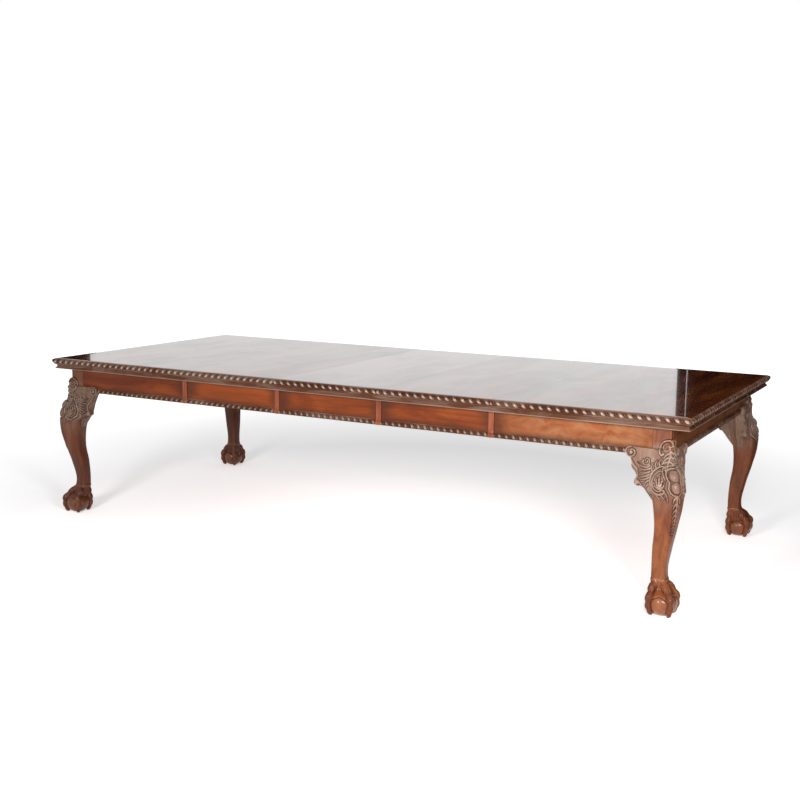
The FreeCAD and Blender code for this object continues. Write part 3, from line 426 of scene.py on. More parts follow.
def metal(name, tint, rough, speck_mm, stain, metallic):
    """A worked metal with stains in its polish; the stains are drawn as coarse as they need to show."""
    material, tree, shader, spot = new_material(name)
    cloud = stretched(tree, spot, "X", speck_mm, speck_mm, 4.0, 0.3)
    dull = tuple(part * stain for part in tint)
    shade = add(tree, "ShaderNodeValToRGB", {"Fac": cloud},
                stops=[(0.35, dull), (0.62, tuple(tint))]).outputs[0]
    wear = add(tree, "ShaderNodeMapRange", {0: cloud, 1: 0.3, 2: 0.7, 3: rough + 0.15, 4: rough}).outputs[0]
    relief = add(tree, "ShaderNodeBump", {"Height": cloud, "Strength": 0.15, "Distance": 0.0004}).outputs[0]
    set_shader(tree, shader, Base_Color=shade, Roughness=wear, Normal=relief, Metallic=metallic)
    return material


def wrapped_sheet(columns, rows, place):
    """A sheet of quads bent to shape: place(along, up), both from 0 to 1, gives points and their carving."""
    made = bmesh.new()
    bmesh.ops.create_grid(made, x_segments=columns, y_segments=rows, size=0.5)
    flat = np.array([vert.co[:2] for vert in made.verts]) + 0.5
    points, carving = place(flat[:, 0], flat[:, 1])
    layer = made.verts.layers.float.new("carve")
    for vert, point, depth in zip(made.verts, points * MM, carving):
        vert.co = point
        vert[layer] = depth
    bmesh.ops.remove_doubles(made, verts=made.verts, dist=1e-6)
    return made


def capped(made):
    """Closes the open ends of a shell."""
    bmesh.ops.holes_fill(made, edges=[edge for edge in made.edges if edge.is_boundary], sides=0)
    bmesh.ops.recalc_face_normals(made, faces=made.faces)
    return made


def cut_off(made, point, outward):
    """Cuts away what lies beyond a plane through a point, given in millimetres."""
    bmesh.ops.bisect_plane(made, geom=made.verts[:] + made.edges[:] + made.faces[:], dist=1e-7,
                           plane_co=Vector(point) * MM, plane_no=Vector(outward), clear_outer=True)


def taken_in(made, other):
    """Adds one shell to another."""
    spare = bpy.data.meshes.new("spare")
    other.to_mesh(spare)
    other.free()
    made.from_mesh(spare)
    bpy.data.meshes.remove(spare)


def mirrored(made, axis):
    """Turns shells into their twins across the middle of the table."""
    bmesh.ops.transform(made, matrix=Matrix.Scale(-1, 4, Vector(axis)), verts=made.verts)
    bmesh.ops.reverse_faces(made, faces=made.faces)


def mirrored_copy(made, axis):
    """Adds to shells their twins across the middle of the table."""
    twin = made.copy()
    mirrored(twin, axis)
    taken_in(made, twin)


def extruded(made, ring, shift):
    """Draws the face within a ring of points out into a solid."""
    grown = bmesh.ops.extrude_face_region(made, geom=[made.faces.new(ring)])
    moved = [item for item in grown["geom"] if isinstance(item, bmesh.types.BMVert)]
    bmesh.ops.translate(made, verts=moved, vec=shift)
    bmesh.ops.recalc_face_normals(made, faces=made.faces)


def to_mesh(made, name):
    """Shells as a mesh."""
    mesh = bpy.data.meshes.new(name)
    made.to_mesh(mesh)
    made.free()
    return mesh


def set_piece(mesh, name, material, body, nodes, sharp_degrees=38):
    """Hands a finished mesh over as a piece that rides on a body and stands for its nodes."""
    if len(mesh.polygons) == 0:
        raise RuntimeError(f"{name} came out empty")
    mesh.polygons.foreach_set("use_smooth", [True] * len(mesh.polygons))
    mesh.set_sharp_from_angle(angle=math.radians(sharp_degrees))
    mesh.materials.clear()
    mesh.materials.append(material)
    piece = bpy.data.objects.new(name, mesh)
    bpy.context.scene.collection.objects.link(piece)
    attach(piece, body)
    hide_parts(*nodes)
    return piece


def polish_flat(mesh, polish):
    """Gives the flat upper faces of an edge the polish of the board that it frames."""
    mesh.materials.append(polish)
    for face in mesh.polygons:
        if face.normal.z > 0.9 and face.center.z > (TOP - 0.5) * MM:
            face.material_index = 1


def dress(nodes, material):
    """Gives nodes of the model a material."""
    for name in nodes:
        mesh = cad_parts[name].data
        mesh.materials.clear()
        mesh.materials.append(material)


def eased_edges(nodes, millimetres):
    """Takes the sharp arris off nodes of the model."""
    for name in nodes:
        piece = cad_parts[name]
        weld = piece.modifiers.new("weld", "WELD")
        weld.merge_threshold = 0.00001
        bevel = piece.modifiers.new("eased_edges", "BEVEL")
        bevel.width = millimetres * MM
        bevel.segments = 2
        bevel.limit_method = "ANGLE"
        bevel.angle_limit = math.radians(40)
        bevel.harden_normals = True


def flow(place, stations, values):
    """A smooth line through values at rising stations that never overshoots them."""
    stations = np.asarray(stations, float)
    values = np.asarray(values, float)
    steps = np.diff(stations)
    rises = np.diff(values) / steps
    slopes = np.zeros(len(values))
    same = rises[:-1] * rises[1:] > 0
    slopes[1:-1][same] = 2 * rises[:-1][same] * rises[1:][same] / (rises[:-1] + rises[1:])[same]
    span = np.clip(np.searchsorted(stations, place) - 1, 0, len(steps) - 1)
    part = np.clip((place - stations[span]) / steps[span], 0, 1)
    left = 1 - part
    return (values[span] * (1 + 2 * part) * left ** 2 + slopes[span] * steps[span] * part * left ** 2
            + values[span + 1] * part * part * (3 - 2 * part)
            + slopes[span + 1] * steps[span] * part * part * (part - 1))


def eased(value, low, high):
    """0 below low, 1 above high, a soft rise between."""
    part = np.clip((value - low) / (high - low), 0, 1)
    return part * part * (3 - 2 * part)


def bell(value, middle, width):
    """1 at the middle, falling away softly to both sides."""
    return np.exp(-((value - middle) / width) ** 2)


# What the carving attribute says of plain ground
PLAIN = 0.5
# Leg: height, half width, centre out from the frame's corner, squareness of the outer and the other corners
LEG = np.array([
    (42, 30, -10, 3, 3), (85, 35, -18, 3.5, 3.5), (120, 31, -25, 3.8, 4), (165, 28.5, -28.5, 4.2, 4),
    (250, 33.5, -20.5, 5, 4.5), (335, 39, -6.7, 5.5, 4.5), (410, 48, -1.4, 5.2, 4.5),
    (480, 55, -5.3, 4.6, 4.5), (535, 55.5, -16.3, 5, 5), (575, 48.5, -28.6, 7, 7), (605, 43.5, -27, 9, 14),
    (629, 42, -28, 12, 22), (634, 35, -35, 30, 40), (660, 35, -35, 40, 40), (737, 35, -35, 40, 40)])
# Rise of the knee over the square post: height, how far it stands out at the arris
KNEE_TOP = np.array([(600, 0), (628, 3), (636, 12), (648, 11), (660, 7), (671, 0)])
# Between these places, out from the frame's corner, that swell grows from nothing to all of it
KNEE_FADE = -50, -22
# Ball: its axis out from the frame's corner, radius, half height, height of its middle
FOOT_OUT, BALL_RADIUS, BALL_HALF, BALL_HEIGHT = -6, 56, 50, 46
# Talon: out from the axis, height, thickness; the rounds that it is grown from
TALON = np.array([
    (8, 133, 7), (15, 123, 10.5), (25, 114, 14.5), (35, 106, 17), (43, 97, 14.5), (48.5, 89, 11),
    (53.5, 80, 13.5), (57.5, 70, 16), (59.5, 61, 13.5), (60, 53, 10.5), (60, 45, 12.5), (58.5, 36, 14),
    (56.5, 28, 11), (55, 21, 9.6), (52.5, 14, 9.6), (49, 9, 8.6), (46, 6, 6)])
TALON_ROUNDS = 66
# The talons' axis leans from the ball's to the ankle's between these heights
ANKLE_OUT, LEAN_FROM, LEAN_TO = -18, 70, 115


def leg_skin():
    """The plain leg of the front right corner, from the top of its post into the ball."""
    low, high = LEG[0, 0], LEG[-1, 0]

    def place(around, up):
        height = low + (high - low) * up
        half, centre, outer, inner = (flow(height, LEG[:, 0], LEG[:, k]) for k in (1, 2, 3, 4))
        side = np.minimum((around * 4).astype(int), 3)
        across = 2 * (around * 4 - side) - 1
        one = np.ones_like(across)
        out = np.choose(side, (one, -across, -one, across))
        front = np.choose(side, (across, one, -across, -one))
        corner = np.clip((out + front) / 2, 0, 1) ** 2
        square = inner + (outer - inner) * corner
        reach = half * (np.abs(out) ** square + np.abs(front) ** square) ** (-1 / square)
        right = centre + reach * out
        ahead = centre + reach * front
        rise = flow(height, KNEE_TOP[:, 0], KNEE_TOP[:, 1])
        swell = rise * eased(right, *KNEE_FADE) * eased(ahead, *KNEE_FADE)
        points = np.stack([FRAME_X + right + swell, -FRAME_Y - ahead - swell, height], 1)
        return points, np.full(len(points), PLAIN)

    return capped(wrapped_sheet(160, 232, place))


def ball_and_talons():
    """Ball and four talons as overlapping rounds, to be grown into one skin."""
    made = bmesh.new()
    axis = Vector((FRAME_X + FOOT_OUT, -FRAME_Y - FOOT_OUT, BALL_HEIGHT)) * MM
    size = Matrix.Diagonal((BALL_RADIUS * MM, BALL_RADIUS * MM, BALL_HALF * MM, 1))
    stand = Matrix.Translation(axis) @ size
    bmesh.ops.create_uvsphere(made, u_segments=64, v_segments=40, radius=1, matrix=stand)
    walk = np.linspace(0, len(TALON) - 1, TALON_ROUNDS)
    steps = np.arange(len(TALON))
    out, height, thick = (flow(walk, steps, TALON[:, k]) for k in range(3))
    shift = FOOT_OUT + (ANKLE_OUT - FOOT_OUT) * eased(height, LEAN_FROM, LEAN_TO)
    for turn in range(4):
        angle = math.pi / 4 + turn * math.pi / 2
        for reach, level, radius, move in zip(out, height, thick, shift):
            right = move + reach * math.cos(angle)
            ahead = move + reach * math.sin(angle)
            stand = Matrix.Translation(Vector((FRAME_X + right, -FRAME_Y - ahead, level)) * MM)
            bmesh.ops.create_icosphere(made, subdivisions=2, radius=radius * MM, matrix=stand)
    for vert in made.verts:
        vert.co.z = max(vert.co.z, 0)
    return made


def grown_skin(made, grid):
    """Overlapping shells made one even skin, a little smoothed."""
    mesh = to_mesh(made, "shells")
    holder = bpy.data.objects.new("shells", mesh)
    bpy.context.scene.collection.objects.link(holder)
    skin = holder.modifiers.new("skin", "REMESH")
    skin.mode = "VOXEL"
    skin.voxel_size = grid
    skin.adaptivity = 0
    result = bpy.data.meshes.new_from_object(holder.evaluated_get(bpy.context.evaluated_depsgraph_get()))
    bpy.data.objects.remove(holder)
    bpy.data.meshes.remove(mesh)
    smooth = bmesh.new()
    smooth.from_mesh(result)
    for _ in range(2):
        bmesh.ops.smooth_vert(smooth, verts=smooth.verts, factor=0.5, use_axis_x=True, use_axis_y=True,
                              use_axis_z=True)
    smooth.to_mesh(result)
    smooth.free()
    return result


def points_of(mesh):
    """Points of a mesh, in millimetres."""
    spots = np.empty(len(mesh.vertices) * 3, np.float32)
    mesh.vertices.foreach_get("co", spots)
    return spots.reshape(-1, 3).astype(float) / MM


def normals_of(mesh):
    """The way out of the wood at each point of a mesh."""
    spots = np.empty(len(mesh.vertices) * 3, np.float32)
    mesh.vertex_normals.foreach_get("vector", spots)
    return spots.reshape(-1, 3).astype(float)


def set_points(mesh, spots):
    """Moves the points of a mesh to places in millimetres."""
    mesh.vertices.foreach_set("co", (spots * MM).astype(np.float32).ravel())
    mesh.update()


def sunk_places(mesh, rounds=6):
    """How far each point lies below its surroundings, in millimetres: creases above 0, ridges below."""
    spots = points_of(mesh)
    ends = np.empty(len(mesh.edges) * 2, np.int32)
    mesh.edges.foreach_get("vertices", ends)
    first, second = ends.reshape(-1, 2).T
    total = len(spots)
    count = np.bincount(first, minlength=total) + np.bincount(second, minlength=total)
    mean = spots
    for _ in range(rounds):
        sums = [np.bincount(first, mean[second, k], total) + np.bincount(second, mean[first, k], total)
                for k in range(3)]
        mean = np.stack(sums, 1) / np.maximum(count, 1)[:, None]
    return ((mean - spots) * normals_of(mesh)).sum(1)


# Crease and ridge, painted shade with soil and painted highlight with wear: how deep or high before it shows,
# where it stops to grow, in millimetres, and its weight
CREASE, RIDGE = (0.12, 1.2, 0.27), (0.15, 1.0, 0.14)


def with_crease_and_ridge_shading(mesh, shade):
    """The carving's shade with painted shade and soil added in every crease, painted highlight and wear on
    every ridge.
    """
    sunk = sunk_places(mesh)
    least, most, weight = CREASE
    crease_dirt_and_shade = np.clip(sunk - least, 0, most) * weight
    least, most, weight = RIDGE
    # Painted highlight with wear on the ridges
    wear = np.clip(-sunk - least, 0, most) * weight
    return shade - crease_dirt_and_shade + wear


def set_carving(mesh, values):
    """Keeps how high the carving stands at each point, 0.5 for the plain ground."""
    kept = mesh.attributes.get("carve") or mesh.attributes.new("carve", "FLOAT", "POINT")
    kept.data.foreach_set("value", np.clip(values, 0, 1).astype(np.float32))


def flowing_line(points, step=1.2):
    """Close points on a smooth line through a few given ones."""
    given = np.array(points, float)
    ends = np.vstack([2 * given[0] - given[1], given, 2 * given[-1] - given[-2]])
    line = []
    for before, here, there, after in zip(ends, ends[1:], ends[2:], ends[3:]):
        count = max(2, int(np.hypot(*(there - here)) / step))
        part = np.linspace(0, 1, count, endpoint=False)[:, None]
        bend = 2 * before - 5 * here + 4 * there - after
        twist = 3 * here - before - 3 * there + after
        line.append(0.5 * (2 * here + (there - before) * part + bend * part ** 2 + twist * part ** 3))
    line.append(given[-1:])
    return np.vstack(line)


# Groove round a carved form, in millimetres; higher than this, ground counts as carved and keeps its form
GROOVE_WIDTH, GROOVE_DEPTH, CARVED = 3.2, 2.3, 0.4


def carve_stroke(relief, across, height, points, start, end, rise, vein=0.0):
    """Raises one tapering scroll or leaf along a line; a groove runs round it, and a vein down its middle."""
    line = flowing_line(points)
    margin = max(start, end) + GROOVE_WIDTH
    low, high = line.min(0) - margin, line.max(0) + margin
    near = np.nonzero((across > low[0]) & (across < high[0]) & (height > low[1]) & (height < high[1]))[0]
    if len(near) == 0:
        return
    gaps = np.hypot(across[near][:, None] - line[None, :, 0], height[near][:, None] - line[None, :, 1])
    nearest = gaps.argmin(1)
    away = gaps[np.arange(len(near)), nearest]
    half = start + (end - start) * nearest / (len(line) - 1)
    share = away / half
    body = rise * (0.55 + 0.45 * half / max(start, end)) * np.sqrt(np.clip(1 - share ** 2, 0, 1))
    body *= 1 - vein * bell(share, 0, 0.28)
    groove = -GROOVE_DEPTH * np.clip(1 - (away - half) / GROOVE_WIDTH, 0, 1)
    now = relief[near]
    outside = np.where(now > CARVED, now, np.minimum(now, groove))
    relief[near] = np.where(share < 1, np.maximum(now, body), outside)


def carve_dome(relief, across, height, centre, radii, rise):
    """Raises one oval boss with a groove round it."""
    share = within_oval(across, height, centre, radii)
    body = rise * np.sqrt(np.clip(1 - share ** 2, 0, 1))
    groove = -GROOVE_DEPTH * np.clip(1 - (share - 1) * radii[0] / GROOVE_WIDTH, 0, 1)
    outside = np.where(relief > CARVED, relief, np.minimum(relief, groove))
    relief[:] = np.where(share < 1, np.maximum(relief, body), outside)


# Scrolls and leaves of a knee: points from the frame's corner and up, half widths at both ends, rise, vein
KNEE_STROKES = [
    # top scroll over the post
    ([(-23, 618), (-30, 612), (-37, 619), (-39, 632), (-37, 646), (-29, 658), (-17, 665), (-4, 666), (6, 660),
      (10, 651), (5, 645)], 4.6, 3.4, 5.0, 0.0),
    ([(-19, 628), (-26, 636), (-25, 647), (-15, 655), (-4, 655)], 3.4, 2.0, 3.0, 0.0),
    # leaves that fall from it
    ([(-4, 648), (3, 628), (3, 606), (-3, 586), (-4, 566)], 4.5, 3.0, 4.2, 0.45),
    ([(-2, 636), (-12, 630), (-20, 640)], 4.2, 2.0, 3.4, 0.4),
    ([(0, 622), (-11, 615), (-22, 600)], 4.6, 2.0, 3.6, 0.4),
    ([(0, 606), (-12, 600), (-25, 583)], 4.6, 2.0, 3.6, 0.4),
    ([(-2, 590), (-14, 586), (-29, 577)], 4.6, 2.0, 3.6, 0.4),
    ([(4, 630), (14, 622), (19, 608)], 4.2, 2.0, 3.4, 0.4),
    ([(3, 612), (14, 603), (21, 588)], 4.4, 2.0, 3.4, 0.4),
    ([(0, 592), (12, 584), (20, 570)], 4.4, 2.0, 3.4, 0.4),
    # big scroll and the ribs within it
    ([(-10, 560), (-13, 569), (-26, 571), (-44, 561), (-58, 543), (-64, 520), (-61, 498), (-49, 481),
      (-32, 472), (-15, 473), (-5, 481), (-8, 489)], 3.4, 4.4, 5.4, 0.0),
    ([(-18, 556), (-34, 552), (-47, 539), (-54, 521), (-52, 502), (-42, 488), (-28, 483), (-15, 488)],
     2.0, 3.6, 4.2, 0.0),
    # acanthus fan inside it
    ([(-27, 492), (-40, 500), (-46, 514)], 4.6, 1.6, 5.2, 0.4),
    ([(-26, 493), (-36, 511), (-39, 532)], 5.0, 1.8, 5.6, 0.4),
    ([(-24, 494), (-27, 516), (-27, 541)], 5.0, 1.8, 5.8, 0.4),
    ([(-21, 493), (-17, 512), (-14, 534)], 4.8, 1.6, 5.4, 0.4),
    ([(-19, 491), (-9, 502), (-5, 517)], 4.4, 1.6, 4.8, 0.4),
    # plumes that rise from its back
    ([(-57, 551), (-63, 565), (-59, 580)], 4.0, 1.6, 4.0, 0.4),
    ([(-46, 563), (-50, 578), (-44, 592)], 4.2, 1.6, 4.2, 0.4),
    ([(-33, 572), (-36, 586), (-29, 600)], 4.2, 1.6, 4.2, 0.4),
    # leaf tips under the big scroll
    ([(-18, 476), (-12, 464), (0, 456)], 4.4, 2.0, 4.0, 0.35),
    ([(-34, 474), (-30, 462), (-20, 452)], 3.6, 1.6, 3.2, 0.35),
    ([(0, 478), (8, 462), (10, 446)], 4.0, 1.8, 3.6, 0.35),
    # small scroll and leaves on the bracket
    ([(-96, 588), (-97, 578), (-88, 571), (-77, 574), (-72, 584), (-77, 594), (-86, 594), (-88, 586)],
     3.0, 2.4, 3.4, 0.0),
    ([(-97, 588), (-104, 579), (-116, 577)], 3.4, 1.4, 3.2, 0.3),
    ([(-70, 571), (-84, 563), (-108, 567), (-121, 575)], 4.2, 1.4, 3.8, 0.4),
    ([(-69, 560), (-88, 553), (-113, 554)], 4.4, 1.6, 4.2, 0.4),
    ([(-68, 549), (-86, 541), (-110, 540)], 4.4, 1.6, 4.2, 0.4),
    ([(-69, 538), (-86, 529), (-109, 526)], 4.4, 1.6, 4.2, 0.4),
    ([(-71, 527), (-86, 517), (-108, 512)], 4.4, 1.6, 4.0, 0.4),
    ([(-72, 515), (-84, 504), (-98, 499)], 4.0, 1.4, 3.6, 0.4),
    ([(-71, 502), (-80, 490), (-88, 482)], 3.6, 1.2, 3.2, 0.4),
    # rim of the bracket, from the outer scroll round to the leg
    ([(-147, 630), (-160, 625), (-164, 612), (-157, 600), (-146, 598), (-136, 604), (-134, 614), (-141, 621),
      (-149, 619)], 3.6, 2.6, 4.6, 0.0),
    ([(-150, 597), (-142, 580), (-133, 565), (-124, 556), (-119, 546), (-116, 532), (-118, 518), (-124, 508)],
     3.4, 3.0, 3.0, 0.0),
    ([(-121, 498), (-127, 503), (-122, 509), (-112, 503), (-98, 492), (-86, 476), (-79, 456), (-76, 436)],
     3.6, 2.4, 3.6, 0.0),
]
# Bosses: centre, radii, rise
KNEE_BOSSES = [((-147, 611), (6.5, 6.5), 5.0), ((-26, 515), (5.5, 6.5), 5.2), ((-24, 619), (5, 5), 5.6),
               ((-10, 559), (4.6, 4.6), 5.4), ((-119, 501), (7.5, 7.5), 6.4)]
# Ovals that sit astride the arris: out from the arris and up, radii, rise; the sunk ground they lie in
ARRIS_OVALS = [((0, 541), (20.5, 20), 7.0), ((0, 500.5), (18.5, 21.5), 6.8)]
OVAL_MARGIN, OVAL_GROUND = 9, -0.8
# Ovals and balls are rubbed smooth; ovals keep nearly the wood's own colour in place of painted relief shade,
# the ball is painted paler, wear with painted highlight
OVAL_SHADE, BALL_SHADE = 0.62, 0.78
# Frame round the ovals
ARRIS_STROKES = [
    ([(0, 568), (12, 566), (23, 558), (28, 543), (26, 528), (22, 519), (24, 508), (25, 496), (20, 482),
      (10, 473), (0, 470)], 2.8, 2.8, 4.2, 0.0),
    ([(0, 578), (16, 575), (31, 564), (36, 546), (33, 526)], 2.6, 2.2, 3.8, 0.0),
]


# Husks under the ovals: how many, height of the first, its length, and what is left of it in the next
HUSKS, HUSK_TOP, HUSK_LENGTH, HUSK_DWINDLE = 9, 470.0, 30.0, 0.89


def husk_strokes():
    """A fall of husks that dwindles down the arris, each a bud between two leaves."""
    strokes = []
    level = HUSK_TOP
    size = HUSK_LENGTH
    for _ in range(HUSKS):
        strokes.append(([(0, level), (0, level - size)], size * 0.15, size * 0.05, size * 0.15, 0.0))
        strokes.append(([(0, level), (size * 0.34, level - size * 0.42), (size * 0.42, level - size * 0.95)],
                        size * 0.16, size * 0.05, size * 0.14, 0.3))
        level -= size * 0.86
        size *= HUSK_DWINDLE
    return strokes


def within_oval(across, height, centre, radii):
    """Share of the way from an oval's centre to its rim at each point."""
    return np.hypot((across - centre[0]) / radii[0], (height - centre[1]) / radii[1])


def knee_relief(across, height, arris):
    """Height of the knee's carving at points of a face; arris says how far each lies from the arris."""
    relief = np.zeros(len(across))
    for stroke in KNEE_STROKES:
        carve_stroke(relief, across, height, *stroke)
    for boss in KNEE_BOSSES:
        carve_dome(relief, across, height, *boss)
    if arris is not None:
        for centre, radii, _ in ARRIS_OVALS:
            wider = [radius + OVAL_MARGIN for radius in radii]
            relief[within_oval(arris, height, centre, wider) < 1] = OVAL_GROUND
        for stroke in ARRIS_STROKES + husk_strokes():
            carve_stroke(relief, arris, height, *stroke)
        for oval in ARRIS_OVALS:
            carve_dome(relief, arris, height, *oval)
    return relief


# Shade of each millimetre that a groove is deep and that a high place stands proud: painted shade with old
# polish in grooves, painted highlight with wear on high places
SINK_SHADE, RISE_SHADE = 0.25, 0.075


def shade_of_relief(relief):
    """Relief in millimetres as the share that the wood's colour reads: grooves below, painted darker as shade
    and old polish, high places above, painted paler as highlight and wear.
    """
    return PLAIN + np.where(relief < 0, relief * SINK_SHADE, relief * RISE_SHADE)


# Carving of the leg ends softly between these heights
CARVING_FOOT, CARVING_FULL = 262, 290
# Web of skin over the ball: height of its edge at a talon, how far it arches up between talons, where it ends
WEB_EDGE, WEB_ARCH, WEB_END = 64, 15, 100
# How far the foot's forms stand proud: web, crease under its edge, lip on it, cuff, ribs, seam beside a talon
WEB, WEB_CREASE, LIP, CUFF, RIB, SEAM = 3.0, -1.2, 1.1, 1.9, 0.8, -1.5
# Cuff round the ankle, and the fine ribs between it and the talons: number, where they rise, where they end
CUFF_HEIGHT, RIBS, RIB_FOOT, RIB_HEAD = 130, 28, (88, 96), (114, 122)
# Half widths of crease, lip, cuff and seam; how far from the web's edge crease and lip lie
CREASE_HALF, LIP_HALF, CUFF_HALF, SEAM_HALF, CREASE_BELOW, LIP_ABOVE = 1.6, 1.8, 5.5, 1.9, 2.6, 2.4
# Where the seam lies, as a share of the talon's thickness
SEAM_PLACE = 0.97
# How much each of these forms counts for the shade, against its height: painted shade in the crease and along
# the seam, painted highlight on the lip and the cuff
CREASE_PAINTED_SHADE, LIP_PAINTED_HIGHLIGHT, CUFF_PAINTED_HIGHLIGHT, SEAM_PAINTED_SHADE = 1.3, 1.5, 1.4, 0.34


def carved_leg(sizes):
    """The leg of the front right corner: plain skin, ball and talons, then the cut ornament."""
    shells = leg_skin()
    taken_in(shells, ball_and_talons())
    mesh = grown_skin(shells, sizes.carving_grid)
    spots = points_of(mesh)
    out = normals_of(mesh)
    right = spots[:, 0] - FRAME_X
    ahead = -spots[:, 1] - FRAME_Y
    height = spots[:, 2]
    arris = np.abs(right - ahead) / math.sqrt(2)
    facing = np.where(ahead > right, -out[:, 1], out[:, 0])
    weight = eased(np.maximum(out[:, 0], -out[:, 1]), 0.05, 0.45) * eased(facing, -0.1, 0.3)
    relief = knee_relief(np.minimum(right, ahead), height, arris) * weight
    relief *= eased(height, CARVING_FOOT, CARVING_FULL)
    ball = np.stack([(right - FOOT_OUT) / BALL_RADIUS, (ahead - FOOT_OUT) / BALL_RADIUS,
                     (height - BALL_HEIGHT) / BALL_HALF], 1)
    nearness = 1 - eased(np.abs(np.linalg.norm(ball, axis=1) - 1), 0.02, 0.07)
    on_ball = nearness * (height < WEB_END)
    turn = np.arctan2(ahead - FOOT_OUT, right - FOOT_OUT)
    web_edge = WEB_EDGE + WEB_ARCH * np.cos(2 * turn) ** 2
    web = WEB * eased(height, web_edge - 1.2, web_edge + 1.2) * on_ball
    crease = WEB_CREASE * bell(height, web_edge - CREASE_BELOW, CREASE_HALF) * on_ball
    lip = LIP * bell(height, web_edge + LIP_ABOVE, LIP_HALF) * on_ball
    cuff = CUFF * np.exp(-((height - CUFF_HEIGHT) / CUFF_HALF) ** 4)
    ribs = RIB * np.cos(RIBS * turn) * eased(height, *RIB_FOOT) * (1 - eased(height, *RIB_HEAD))
    from_axis = np.hypot(right - FOOT_OUT, ahead - FOOT_OUT)
    aside = from_axis * np.abs(np.sin(turn % (math.pi / 2) - math.pi / 4))
    thick = np.interp(height, TALON[::-1, 1], TALON[::-1, 2])
    seam = bell(aside, thick * SEAM_PLACE, SEAM_HALF) * nearness * (height < web_edge - 1)
    moved = relief * sizes.carving_rise + web + crease + lip + cuff + ribs + SEAM * seam
    spots = spots + out * moved[:, None]
    spots[:, 2] = np.maximum(spots[:, 2], 0)
    set_points(mesh, spots)
    # Painted shade in the crease under the web and in the grooves of the ribs, painted highlight on the lip
    # and the cuff
    cut = relief + CREASE_PAINTED_SHADE * crease + CUFF_PAINTED_HIGHLIGHT * cuff + LIP_PAINTED_HIGHLIGHT * lip + np.minimum(ribs, 0)
    shade = shade_of_relief(cut)
    # The ball is painted paler, wear with painted highlight
    shade[(nearness > 0.6) & (height < web_edge - 4)] = BALL_SHADE
    for centre, radii, _ in ARRIS_OVALS:
        inside = within_oval(arris, height, centre, radii) < 0.93
        shade[inside & (weight > 0.5)] = OVAL_SHADE
    # Painted shade along the seam beside each talon
    set_carving(mesh, with_crease_and_ridge_shading(mesh, shade - SEAM_PAINTED_SHADE * seam))
    return mesh


# Bracket: how far it stands out at its outer scroll and at the leg; where it begins, how far on the leg is
EAR_PROUD, EAR_SPAN = (13, 34), (166, 96)
# Share of that swell which is left towards its hollow top: height, share
EAR_HOLLOW = np.array([(420, 1.0), (525, 1.0), (545, 0.93), (575, 0.55), (605, 0.2), (632, 0.05)])
# Plain block behind the carved face: from this far proud to this far behind the frieze, and its outline
EAR_BACK = 6, 24
EAR_BACKING = [(-64, 604), (-157, 604), (-146, 586), (-128, 549), (-118, 518), (-112, 500), (-98, 476),
               (-84, 446), (-77, 427), (-64, 427)]
# Rounds of its outline that the carver left fuller: centre, full within and none beyond, growth
EAR_ROUNDS = [((-147, 611), (16, 30), 0.2), ((-118, 501), (8, 19), 0.3), ((-127, 562), (8, 18), 0.5)]
# How far its lower end is drawn in to the leg: height, shift
EAR_TUCK = np.array([(420, 27), (432, 21), (446, 14.5), (462, 9), (480, 4), (498, 0), (700, 0)])


def carved_bracket(sizes):
    """Both brackets of the front right knee, grown from the model's own and then carved."""
    source = bmesh.new()
    source.from_mesh(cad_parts["knee_brackets_front_right"].data)
    bmesh.ops.remove_doubles(source, verts=source.verts, dist=1e-6)
    corner = Vector((FRAME_X, -FRAME_Y, 0))
    for along, inward in (((1, 0, 0), (0, 1, 0)), ((0, -1, 0), (-1, 0, 0))):
        along, inward = Vector(along), Vector(inward)
        face = corner - inward * EAR_BACK[0]
        places = [face + along * reach + Vector((0, 0, up)) for reach, up in EAR_BACKING]
        extruded(source, [source.verts.new(place * MM) for place in places], inward * sum(EAR_BACK) * MM)
    mesh = grown_skin(source, sizes.ear_grid)
    spots = points_of(mesh)
    out = normals_of(mesh)
    right = spots[:, 0] - FRAME_X
    ahead = -spots[:, 1] - FRAME_Y
    on_front = right < ahead
    across = np.minimum(right, ahead)
    proud = np.maximum(right, ahead)
    facing = np.where(on_front, -out[:, 1], out[:, 0])
    relief = knee_relief(across, spots[:, 2], None) * eased(facing, 0.15, 0.6) * sizes.carving_rise
    swell = (EAR_PROUD[1] - EAR_PROUD[0]) * np.clip((across + EAR_SPAN[0]) / EAR_SPAN[1], 0, 1.2)
    hollow = flow(spots[:, 2], EAR_HOLLOW[:, 0], EAR_HOLLOW[:, 1])
    lowered = (EAR_PROUD[0] + swell * hollow) / (EAR_PROUD[0] + swell) - 1
    change = np.where(proud > 0, proud * lowered, 0) + relief
    spots[on_front, 1] -= change[on_front]
    spots[~on_front, 0] += change[~on_front]
    for centre, (full, none), growth in EAR_ROUNDS:
        aside = across - centre[0]
        above = spots[:, 2] - centre[1]
        grow = growth * (1 - eased(np.hypot(aside, above), full, none)) * eased(proud, 0, 5)
        spots[on_front, 0] += (aside * grow)[on_front]
        spots[~on_front, 1] -= (aside * grow)[~on_front]
        spots[:, 2] += above * grow
    tuck = flow(spots[:, 2], EAR_TUCK[:, 0], EAR_TUCK[:, 1])
    spots[on_front, 0] += tuck[on_front]
    spots[~on_front, 1] -= tuck[~on_front]
    set_points(mesh, spots)
    # Painted shade in grooves and creases and painted highlight on high places and ridges, with old polish
    # and wear
    set_carving(mesh, with_crease_and_ridge_shading(mesh, shade_of_relief(relief)))
    return mesh


# Corner, and its side along and across the table
CORNERS = (("front_right", 1, 1), ("front_left", -1, 1), ("back_right", 1, -1), ("back_left", -1, -1))


